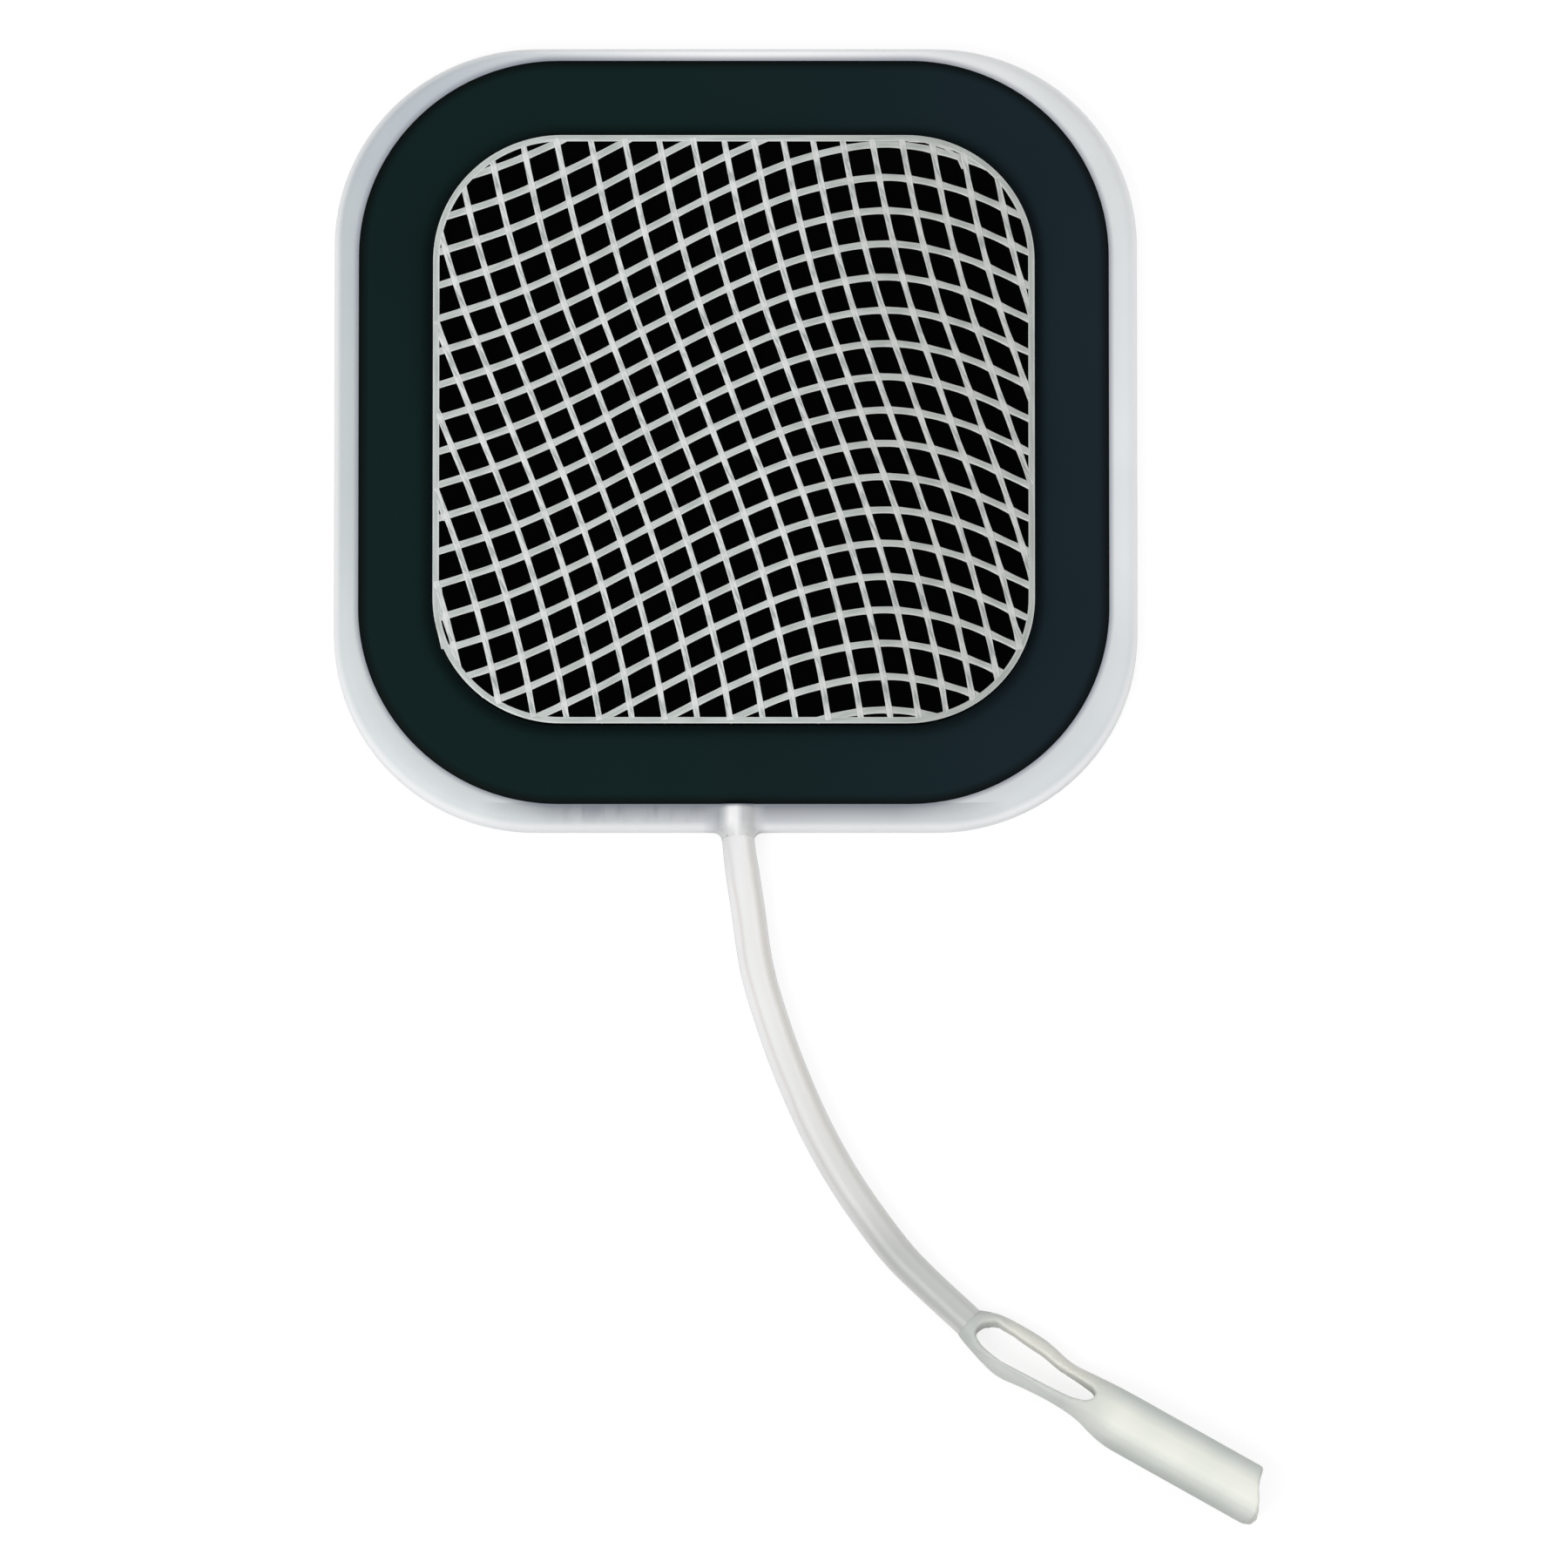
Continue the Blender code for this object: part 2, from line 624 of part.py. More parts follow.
def make_contact_chamber():
    tail = TAIL_RADIUS + CONTACT_CLEARANCE
    barrel = CONTACT_RADIUS + CONTACT_CLEARANCE
    shoulder = CONTACT_REAR - CONTACT_CLEARANCE
    rings = [axis_ring(TAIL_REAR - CONTACT_CLEARANCE, tail), axis_ring(shoulder, tail),
             axis_ring(shoulder, barrel), axis_ring(BODY_END + BODY_HALF_WIDTH, barrel)]
    return loft("contact_chamber", rings)


def make_contact(material):
    """Turned socket with a solid tail that the core is soldered to."""
    rings = [axis_ring(TAIL_REAR, TAIL_RADIUS), axis_ring(CONTACT_REAR, TAIL_RADIUS),
             axis_ring(CONTACT_REAR, CONTACT_RADIUS), axis_ring(CONTACT_FRONT, CONTACT_RADIUS),
             axis_ring(CONTACT_FRONT, PIN_BORE_RADIUS + CONTACT_LEAD_IN),
             axis_ring(CONTACT_FRONT - CONTACT_LEAD_IN, PIN_BORE_RADIUS),
             axis_ring(BORE_BOTTOM, PIN_BORE_RADIUS)]
    return loft("socket_contact", rings, material)


def make_core(name, radius, material=None):
    """The bare core through the lower leg of the strain relief, or the channel that it lies in."""
    route = [tuple(connector_point(along * MM, across * MM, height * MM) / MM)
             for along, across, height in CORE_ROUTE]
    points = route_points(route, CORE_POINT_SPACING)
    rings = []
    for count, point in enumerate(points):
        along = points[min(count + 1, len(points) - 1)] - points[max(count - 1, 0)]
        side = along.cross(Vector((0, 0, 1))).normalized()
        up = side.cross(along).normalized()
        turns = [math.tau * step / CORE_SIDES for step in range(CORE_SIDES)]
        rings.append([point + radius * (side * math.cos(turn) + up * math.sin(turn)) for turn in turns])
    return loft(name, rings, material)


def main():
    clear_scene()
    make_backing(make_material("backing_foam", (0.74, 0.77, 0.78), 0.55))
    make_film(make_material("carbon_black", (0.012, 0.02, 0.023), 0.5))
    make_gel(make_material("clear_gel", (0.6, 0.62, 0.63), 0.08))
    make_net(make_material("net_white", (0.6, 0.62, 0.6), 0.6))
    make_conductor_fan(make_material("bare_strands", (0.6, 0.36, 0.25), 0.35, 1.0))
    make_lead(make_material("lead_white", (0.76, 0.76, 0.77), 0.4))
    make_housing(make_material("connector_ivory", (0.78, 0.78, 0.72), 0.4))
    make_core("core_wire", CORE_RADIUS, make_material("bare_core", (0.6, 0.36, 0.25), 0.35, 1.0))
    make_contact(make_material("contact_metal", (0.7, 0.68, 0.62), 0.25, 1.0))


main()
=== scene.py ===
import math
import random

import bpy
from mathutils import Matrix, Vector


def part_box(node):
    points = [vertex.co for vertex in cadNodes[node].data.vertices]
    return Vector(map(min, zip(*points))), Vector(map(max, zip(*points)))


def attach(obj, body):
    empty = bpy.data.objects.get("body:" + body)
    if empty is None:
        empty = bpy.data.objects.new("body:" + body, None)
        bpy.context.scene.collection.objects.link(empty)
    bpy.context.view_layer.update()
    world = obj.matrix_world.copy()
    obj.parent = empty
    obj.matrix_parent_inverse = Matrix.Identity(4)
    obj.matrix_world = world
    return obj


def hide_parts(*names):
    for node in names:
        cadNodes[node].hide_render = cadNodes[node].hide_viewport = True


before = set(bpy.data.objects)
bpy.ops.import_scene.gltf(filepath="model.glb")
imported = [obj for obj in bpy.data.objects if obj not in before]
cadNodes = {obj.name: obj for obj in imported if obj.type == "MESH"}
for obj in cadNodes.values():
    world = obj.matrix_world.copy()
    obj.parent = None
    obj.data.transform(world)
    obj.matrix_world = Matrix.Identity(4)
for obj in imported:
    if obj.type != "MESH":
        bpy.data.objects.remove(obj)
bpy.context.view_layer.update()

mm = 0.001
hair = 0.01 * mm    # anything nearer than this counts as touching
quarterTurn = math.radians(90)
rightward, backward = (1, 0, 0), (0, 1, 0)
white = (1, 1, 1)
print("frame loaded")


# Working in object and edit mode

def objectMode():
    bpy.ops.object.mode_set(mode="OBJECT")


def editMode():
    bpy.ops.object.mode_set(mode="EDIT")


def pickAll():
    bpy.ops.mesh.select_all(action="SELECT")


def applyTransform():
    bpy.ops.object.transform_apply(location=True, rotation=True, scale=True)


def deselectAll():
    if bpy.context.object and bpy.context.object.mode != "OBJECT":
        objectMode()
    bpy.ops.object.select_all(action="DESELECT")


def makeActive(piece):
    deselectAll()
    piece.select_set(True)
    bpy.context.view_layer.objects.active = piece


def applyModifier(piece, kind, **settings):
    makeActive(piece)
    modifier = piece.modifiers.new(kind, kind)
    for setting, value in settings.items():
        setattr(modifier, setting, value)
    bpy.ops.object.modifier_apply(modifier=modifier.name)


def clearPicks(piece):
    objectMode()
    for part in (piece.data.vertices, piece.data.edges, piece.data.polygons):
        part.foreach_set("select", [False] * len(part))


def pickVerts(piece, test):
    clearPicks(piece)
    for vert in piece.data.vertices:
        vert.select = test(vert.co)
    editMode()


def pickEdges(piece, test):    # the test gets both ends
    clearPicks(piece)
    verts = piece.data.vertices
    for edge in piece.data.edges:
        edge.select = test(verts[edge.vertices[0]].co, verts[edge.vertices[1]].co)
    editMode()


def moveVerts(piece, place):    # place gets a vertex's point and gives its new one
    objectMode()
    for vert in piece.data.vertices:
        vert.co = place(vert.co)


def mergeVerts(piece, distance):
    makeActive(piece)
    editMode()
    pickAll()
    bpy.ops.mesh.remove_doubles(threshold=distance)
    objectMode()


def faceOutwards():
    pickAll()
    bpy.ops.mesh.normals_make_consistent(inside=False)


def finishPiece(piece, node, smoothAngle=None):    # smooth up to this angle, for a mesh
    if smoothAngle:
        makeActive(piece)
        bpy.ops.object.shade_smooth_by_angle(angle=math.radians(smoothAngle))
    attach(piece, "root")
    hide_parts(node)


# Curves and outlines that several pieces share

def hermite(stations, place):    # smooth curve through given stations
    places = [station[0] for station in stations]
    values = [station[1] for station in stations]
    if place <= places[0]:
        return values[0]
    if place >= places[-1]:
        return values[-1]
    after = next(count for count, known in enumerate(places) if known > place)
    before = after - 1

    def slope(count):
        low, high = max(count - 1, 0), min(count + 1, len(places) - 1)
        return (values[high] - values[low]) / (places[high] - places[low])

    width = places[after] - places[before]
    share = (place - places[before]) / width
    return ((2 * share ** 3 - 3 * share ** 2 + 1) * values[before]
            + (share ** 3 - 2 * share ** 2 + share) * width * slope(before)
            + (3 * share ** 2 - 2 * share ** 3) * values[after]
            + (share ** 3 - share ** 2) * width * slope(after))


def smoothStep(low, high, value):
    share = min(max((value - low) / (high - low), 0.0), 1.0)
    return share * share * (3 - 2 * share)


def smoothMax(first, second, reach):
    meet = max(reach - abs(first - second), 0.0) / reach
    return max(first, second) + meet * meet * reach / 4


def outlineOf(node, corner):    # a rounded rectangle around a CAD node, as middle, half size and corner
    low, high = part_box(node)
    middle = (low + high) / 2
    return {"x": middle.x, "y": middle.y, "halfX": (high.x - low.x) / 2,
            "halfY": (high.y - low.y) / 2, "corner": corner}


def coreOf(outline):    # half the sides of the rectangle between the corners' centres
    return outline["halfX"] - outline["corner"], outline["halfY"] - outline["corner"]


def outsideBy(outline, point):    # distance outside the outline, less than 0 inside
    wideX, wideY = coreOf(outline)
    fromX, fromY = abs(point[0] - outline["x"]) - wideX, abs(point[1] - outline["y"]) - wideY
    beyond = math.hypot(max(fromX, 0.0), max(fromY, 0.0))
    return beyond + min(max(fromX, fromY), 0.0) - outline["corner"]


def nearestOn(outline, point, grow):    # the nearest place on an outline grown by so much
    wideX, wideY = coreOf(outline)
    off = Vector((point[0] - outline["x"], point[1] - outline["y"], 0))
    core = Vector((min(max(off.x, -wideX), wideX), min(max(off.y, -wideY), wideY), 0))
    away = (off - core).normalized() * (outline["corner"] + grow)
    return Vector((outline["x"], outline["y"], 0)) + core + away


def roundedPlate(name, outline, height, sideCuts, frontCuts):
    deselectAll()
    bpy.ops.mesh.primitive_plane_add(size=1, location=(outline["x"], outline["y"], height))
    plate = bpy.context.object
    plate.name = name
    plate.data.name = name
    plate.scale = (2 * outline["halfX"], 2 * outline["halfY"], 1)
    applyTransform()
    editMode()
    pickAll()
    bpy.ops.mesh.bevel(offset=outline["corner"], segments=24, affect="VERTICES")
    bpy.ops.mesh.select_mode(type="EDGE")
    longSide = 0.2 * outline["halfX"]
    front = outline["y"] - outline["halfY"] + hair
    pickEdges(plate, lambda a, b: (a - b).length > longSide and max(a.y, b.y) > front)
    bpy.ops.mesh.subdivide(number_cuts=sideCuts)
    pickEdges(plate, lambda a, b: (a - b).length > longSide and max(a.y, b.y) <= front)
    bpy.ops.mesh.subdivide(number_cuts=frontCuts)
    return plate


def wireAlong(name, knots, closed=False, **settings):    # each knot is a point and its thickness
    line = bpy.data.curves.new(name, "CURVE")
    line.dimensions = "3D"
    line.use_fill_caps = not closed
    for setting, value in settings.items():
        setattr(line, setting, value)
    spline = line.splines.new("POLY")
    spline.points.add(len(knots) - 1)
    spline.use_cyclic_u = closed
    for knot, (point, thickness) in zip(spline.points, knots):
        knot.co = (*point, 1)
        knot.radius = thickness
    piece = bpy.data.objects.new(name, line)
    bpy.context.scene.collection.objects.link(piece)
    return piece


# Shader building; what goes in is a constant or another node's output

def plug(tree, value, socket):
    if isinstance(value, bpy.types.NodeSocket):
        tree.links.new(value, socket)
    elif socket.type == "RGBA":
        socket.default_value = (*value, 1)
    else:
        socket.default_value = value


def addNode(tree, kind, inputs=None, **settings):
    node = tree.nodes.new("ShaderNode" + kind)
    for setting, value in settings.items():
        setattr(node, setting, value)
    for socket, value in (inputs or {}).items():
        plug(tree, value, node.inputs[socket])
    return node


def objectPlace(tree):
    return addNode(tree, "TexCoord").outputs["Object"]


def splitVector(tree, vector):
    return addNode(tree, "SeparateXYZ", {0: vector}).outputs


def maths(tree, operation, *values):
    return addNode(tree, "Math", dict(enumerate(values)), operation=operation).outputs[0]


def vectorMaths(tree, operation, *values):
    return addNode(tree, "VectorMath", dict(enumerate(values)), operation=operation).outputs


def mapRange(tree, value, low=0.0, high=1.0, toLow=0.0, toHigh=1.0, kind="LINEAR"):
    inputs = {"Value": value, "From Min": low, "From Max": high, "To Min": toLow, "To Max": toHigh}
    return addNode(tree, "MapRange", inputs, interpolation_type=kind).outputs[0]


def addNoise(tree, place, scale, detail, roughness=0.5):
    inputs = {"Vector": place, "Scale": scale, "Detail": detail, "Roughness": roughness}
    return addNode(tree, "TexNoise", inputs).outputs[0]


def mixColours(tree, share, first, second, blend="MIX"):
    inputs = {0: share, 6: first, 7: second}
    return addNode(tree, "Mix", inputs, data_type="RGBA", blend_type=blend).outputs[2]


def colourRamp(tree, share, stops, interpolation="LINEAR"):    # gives its colour and its alpha
    node = addNode(tree, "ValToRGB", {"Fac": share})
    line = node.color_ramp
    line.interpolation = interpolation
    while len(line.elements) < len(stops):
        line.elements.new(0.5)
    for element, (place, colour) in zip(line.elements, stops):
        element.position = place
        element.color = (*colour, 1)[:4]
    return node.outputs


def newGroup(name, outputs, **inputs):
    tree = bpy.data.node_groups.new(name, "ShaderNodeTree")
    for socket, (kind, value) in inputs.items():
        made = tree.interface.new_socket(name=socket, in_out="INPUT", socket_type="NodeSocket" + kind)
        made.default_value = value
    for socket, kind in outputs.items():
        tree.interface.new_socket(name=socket, in_out="OUTPUT", socket_type="NodeSocket" + kind)
    return tree, tree.nodes.new("NodeGroupInput").outputs, tree.nodes.new("NodeGroupOutput").inputs


def useGroup(tree, group, **values):
    return addNode(tree, "Group", values, node_tree=group).outputs


def newMaterial(name, colour, roughness, **constants):
    material = bpy.data.materials.new(name)
    material.use_nodes = True
    tree = material.node_tree
    shader = tree.nodes["Principled BSDF"]
    shader.inputs["Base Color"].default_value = (*colour, 1)
    shader.inputs["Roughness"].default_value = roughness
    for socket, value in constants.items():
        shader.inputs[socket.replace("_", " ")].default_value = value
    return material, tree, shader


# Node groups that several materials use

def bumpFrom(tree, height, depth, strength):
    return addNode(tree, "Bump", {"Height": height, "Distance": depth, "Strength": strength}).outputs[0]


def makeGrainGroup():    # fine speckle with its bump, for foam, rubber and plastic skins
    tree, given, put = newGroup("skin grain", {"Mask": "Float", "Normal": "Vector"}, Scale=("Float", 4000.0),
                                Depth=("Float", 0.01 * mm), Strength=("Float", 0.3))
    noise = addNoise(tree, objectPlace(tree), given["Scale"], 3.0, 0.55)
    plug(tree, noise, put["Mask"])
    plug(tree, bumpFrom(tree, noise, given["Depth"], given["Strength"]), put["Normal"])
    return tree


def makeCloudGroup():    # slow change between two colours over a surface
    tree, given, put = newGroup("cloudy tint", {"Color": "Color"}, First=("Color", (1, 1, 1, 1)),
                                Second=("Color", (1, 1, 1, 1)), Scale=("Float", 60.0))
    noise = addNoise(tree, objectPlace(tree), given["Scale"], 2.0)
    clouds = mixColours(tree, mapRange(tree, noise, 0.3, 0.7), given["First"], given["Second"])
    plug(tree, clouds, put["Color"])
    return tree


def makeFibreGroup():    # filaments on a thread: UV x runs along it in millimetres, y once around it
    tree, given, put = newGroup("twisted filaments", {"Mask": "Float", "Normal": "Vector"},
                                Twist=("Float", 0.2), Across=("Float", 9.0), Along=("Float", 1.3),
                                Depth=("Float", 0.02 * mm))
    place = splitVector(tree, addNode(tree, "UVMap").outputs[0])
    strand = addNode(tree, "Attribute", attribute_name="strand").outputs["Fac"]
    turned = maths(tree, "ADD", place["Y"], maths(tree, "MULTIPLY", place["X"], given["Twist"]))
    folded = maths(tree, "PINGPONG", turned, 0.5)
    spot = addNode(tree, "CombineXYZ", {"X": maths(tree, "MULTIPLY", folded, given["Across"]),
                                        "Y": maths(tree, "MULTIPLY", place["X"], given["Along"]),
                                        "Z": maths(tree, "MULTIPLY", strand, 40.0)}).outputs[0]
    noise = addNoise(tree, spot, 1.0, 3.0, 0.6)
    plug(tree, noise, put["Mask"])
    plug(tree, bumpFrom(tree, noise, given["Depth"], 0.6), put["Normal"])
    return tree


def makeOutlineGroup():    # distance outside a rounded outline, less than 0 inside
    tree, given, put = newGroup("outline distance", {"Distance": "Float"}, Middle=("Vector", (0, 0, 0)),
                                Core=("Vector", (0, 0, 0)), Corner=("Float", 10 * mm))
    place = splitVector(tree, objectPlace(tree))
    flat = addNode(tree, "CombineXYZ", {"X": place["X"], "Y": place["Y"]}).outputs[0]
    off = vectorMaths(tree, "SUBTRACT", flat, given["Middle"])[0]
    over = vectorMaths(tree, "SUBTRACT", vectorMaths(tree, "ABSOLUTE", off)[0], given["Core"])[0]
    beyond = vectorMaths(tree, "LENGTH", vectorMaths(tree, "MAXIMUM", over)[0])["Value"]
    sides = splitVector(tree, over)
    within = maths(tree, "MINIMUM", maths(tree, "MAXIMUM", sides["X"], sides["Y"]), 0.0)
    distance = maths(tree, "SUBTRACT", maths(tree, "ADD", beyond, within), given["Corner"])
    plug(tree, distance, put["Distance"])
    return tree


def makeSideGroup():    # 0 at one place and 1 at another, measured along a direction
    tree, given, put = newGroup("along a direction", {"Share": "Float"}, Direction=("Vector", rightward),
                                From=("Float", 0.0), To=("Float", 1.0))
    reach = vectorMaths(tree, "DOT_PRODUCT", objectPlace(tree), given["Direction"])["Value"]
    plug(tree, mapRange(tree, reach, given["From"], given["To"]), put["Share"])
    return tree


skinGrain = makeGrainGroup()
cloudyTint = makeCloudGroup()
twistedFilaments = makeFibreGroup()
outlineDistance = makeOutlineGroup()
alongDirection = makeSideGroup()
print("shader groups made")


# How the materials use them

def shareAlong(tree, places, direction=rightward):    # 0 at the first place, 1 at the second
    return useGroup(tree, alongDirection, Direction=direction, From=places[0], To=places[1])[0]


def nearOutline(tree, outline, places, most):    # 0 at the first distance outside it, most at the second
    middle, core = (outline["x"], outline["y"], 0), (*coreOf(outline), 0)
    distance = useGroup(tree, outlineDistance, Middle=middle, Core=core, Corner=outline["corner"])[0]
    return mapRange(tree, distance, *places, toHigh=most, kind="SMOOTHSTEP")


def clouded(tree, colour, clouds):
    tint = useGroup(tree, cloudyTint, First=white, Second=clouds["colour"], Scale=clouds["scale"])[0]
    return mixColours(tree, 1.0, colour, tint, "MULTIPLY")


def shadeTurnedAway(tree, colour, edge, most):    # painted shade where the surface turns away from view
    facing = addNode(tree, "LayerWeight", {"Blend": 0.5}).outputs["Facing"]
    return mixColours(tree, mapRange(tree, facing, 0.78, 0.99, toHigh=most), colour, edge)


def dressShader(tree, shader, colour, skin, rough):    # the skin is a group's mask and normal
    mask, normal = skin
    plug(tree, colour, shader.inputs["Base Color"])
    plug(tree, mapRange(tree, mask, toLow=rough[0], toHigh=rough[1]), shader.inputs["Roughness"])
    plug(tree, normal, shader.inputs["Normal"])


# Camera, a long lens 79 degrees above the table

camera = {
    "target": Vector((3.006, -21.38, 0)) * mm,
    "elevation": math.radians(79),
    "frameWidth": 97.508 * mm,
    "lens": 800,
    "sensor": 36,
    "clip": (0.05, 20),
}


def makeCamera():
    away = Vector((0, -math.cos(camera["elevation"]), math.sin(camera["elevation"])))
    distance = camera["frameWidth"] * camera["lens"] / camera["sensor"]
    deselectAll()
    bpy.ops.object.camera_add(location=camera["target"] + away * distance,
                              rotation=(quarterTurn - camera["elevation"], 0, 0))
    made = bpy.context.object
    made.name = "tableCamera"
    made.data.lens = camera["lens"]
    made.data.sensor_width = camera["sensor"]
    made.data.clip_start, made.data.clip_end = camera["clip"]
    bpy.context.scene.camera = made


# Lead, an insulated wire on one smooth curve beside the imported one's

lead = {
    "radius": 1.0 * mm,
    "route": ((0.15, -23.3, 1.2), (0.15, -24.7, 1.2), (0.22, -25.7, 1.2), (0.44, -27.3, 1.14),
              (0.75, -29.35, 1.06), (1.33, -33.28, 1.06), (2.34, -36.8, 1.06), (3.48, -39.95, 1.06),
              (4.94, -43.3, 1.06), (6.57, -46.3, 1.06), (8.32, -48.95, 1.05), (10.2, -51.4, 1.03),
              (12.09, -53.32, 1.02), (14.27, -55.37, 1.02)),
    "intoConnector": 0.8 * mm,
    "wireAngle": math.radians(-43.5),
    "steps": 5,
    "exit": (0.15 * mm, -24.525 * mm, 1.2 * mm),
    "length": 36.9 * mm,
    "narrowUntil": -25.0 * mm,    # inside the foam's collar it is a little thinner
    "widePast": -25.08 * mm,
    "narrow": 0.96,
    "fuller": 1.05,    # a little wider where it lies free, between these two stretches
    "freeStart": (-25.1 * mm, -27.5 * mm),
    "freeEnd": (-53.5 * mm, -50 * mm),
    "seam": math.radians(18),
    "wanderScale": 160.0,
    "wander": (0.3, 0.7, 0.46, 0.54),    # from these levels of noise to these places across
    "collarShade": (-28.5 * mm, -25.2 * mm),
    "endShade": (-36 * mm, -52 * mm),
    # painted shade at the sheath's sides where they turn away from view
    "paintedEdgeTone": (0.25, 0.26, 0.26),
    # across, atCollar and acrossEnd are painted light: a highlight stripe and shaded sides by the turn around
    # the tube
    "across": ((0.0, (0.86, 0.86, 0.86)), (0.12, (0.84, 0.84, 0.835)), (0.2, (0.72, 0.69, 0.68)),
               (0.27, (0.77, 0.77, 0.765)), (0.45, (0.79, 0.79, 0.785)), (0.6, (0.78, 0.775, 0.765)),
               (0.73, (0.72, 0.71, 0.68)), (0.87, (0.71, 0.69, 0.65)), (0.96, (0.78, 0.78, 0.77))),
    "acrossEnd": ((0.0, (0.6, 0.6, 0.59)), (0.1, (0.46, 0.47, 0.46)), (0.3, (0.44, 0.45, 0.44)),
                  (0.5, (0.5, 0.51, 0.495)), (0.75, (0.52, 0.53, 0.51)), (0.9, (0.6, 0.61, 0.6))),
    "atCollar": ((0.0, (0.7, 0.7, 0.7)), (0.2, (0.74, 0.74, 0.75)), (0.42, (0.78, 0.78, 0.79)),
                 (0.55, (0.8, 0.8, 0.8)), (0.75, (0.72, 0.715, 0.7)), (1.0, (0.7, 0.7, 0.69))),
    "greying": ((0.0, (0, 0, 0)), (0.44, (0.25, 0.25, 0.25)), (0.75, (0.5, 0.5, 0.5)), (0.95, (1, 1, 1))),
    "grain": {"Scale": 2600.0, "Depth": 0.008 * mm, "Strength": 0.25},
    "rough": (0.28, 0.44),
}


def leadPoints():
    joints = [Vector(point) * mm for point in lead["route"]]
    facing = Vector((math.cos(lead["wireAngle"]), math.sin(lead["wireAngle"]), 0))
    joints.append(joints[-1] + facing * lead["intoConnector"])
    points = []
    for count in range(len(joints) - 1):
        before = joints[max(count - 1, 0)]
        start, end = joints[count], joints[count + 1]
        after = joints[min(count + 2, len(joints) - 1)]
        for step in range(lead["steps"]):
            share = step / lead["steps"]
            points.append(0.5 * (2 * start + (end - before) * share
                                 + (2 * before - 5 * start + 4 * end - after) * share ** 2
                                 + (3 * start - before - 3 * end + after) * share ** 3))
    points.append(joints[-1])
    for place in (lead["narrowUntil"], lead["widePast"]):    # one more point on each side of the collar's end
        after = next(count for count, point in enumerate(points) if point.y < place)
        start, end = points[after - 1], points[after]
        points.insert(after, start.lerp(end, (start.y - place) / (start.y - end.y)))
    return points


def leadThickness(point):
    narrowing = smoothStep(lead["widePast"], lead["narrowUntil"], point.y)
    free = smoothStep(*lead["freeStart"], point.y) * smoothStep(*lead["freeEnd"], point.y)
    return 1 - (1 - lead["narrow"]) * narrowing + (lead["fuller"] - 1) * free


def makeLeadMaterial():    # painted highlight and shade run along the sheath by its turn around the tube, and its last part is greyer
    material, tree, shader = newMaterial("leadSheath", lead["across"][4][1], 0.36, Subsurface_Weight=0.1,
                                         Subsurface_Radius=(1, 1, 1), Subsurface_Scale=0.5 * mm,
                                         Coat_Weight=0.15, Coat_Roughness=0.2)
    place = addNode(tree, "TexCoord").outputs
    turn = maths(tree, "MULTIPLY_ADD", splitVector(tree, place["UV"])["Y"], math.tau, lead["seam"])
    wander = mapRange(tree, addNoise(tree, place["Object"], lead["wanderScale"], 2.0), *lead["wander"])
    across = maths(tree, "MULTIPLY_ADD", maths(tree, "COSINE", turn), 0.5, wander)
    sheathShading, atCollar, atEnd = (colourRamp(tree, across, lead[stops])[0]
                                for stops in ("across", "atCollar", "acrossEnd"))
    sheathShading = mixColours(tree, shareAlong(tree, lead["collarShade"], backward), sheathShading, atCollar)
    greying = colourRamp(tree, shareAlong(tree, lead["endShade"], backward), lead["greying"])[0]
    sheathShading = mixColours(tree, greying, sheathShading, atEnd)
    dressShader(tree, shader, shadeTurnedAway(tree, sheathShading, lead["paintedEdgeTone"], 0.8),
                useGroup(tree, skinGrain, **lead["grain"]), lead["rough"])
    return material


def makeLead():
    piece = wireAlong("leadSheath", [(point, leadThickness(point)) for point in leadPoints()],
                      bevel_depth=lead["radius"], bevel_resolution=8)
    piece.data.materials.append(makeLeadMaterial())
    finishPiece(piece, "lead_wire")
    return piece


makeCamera()
leadSheath = makeLead()
print("camera and lead made")


# Foam backing, a soft tray whose rim rises over the lead and flares out along it

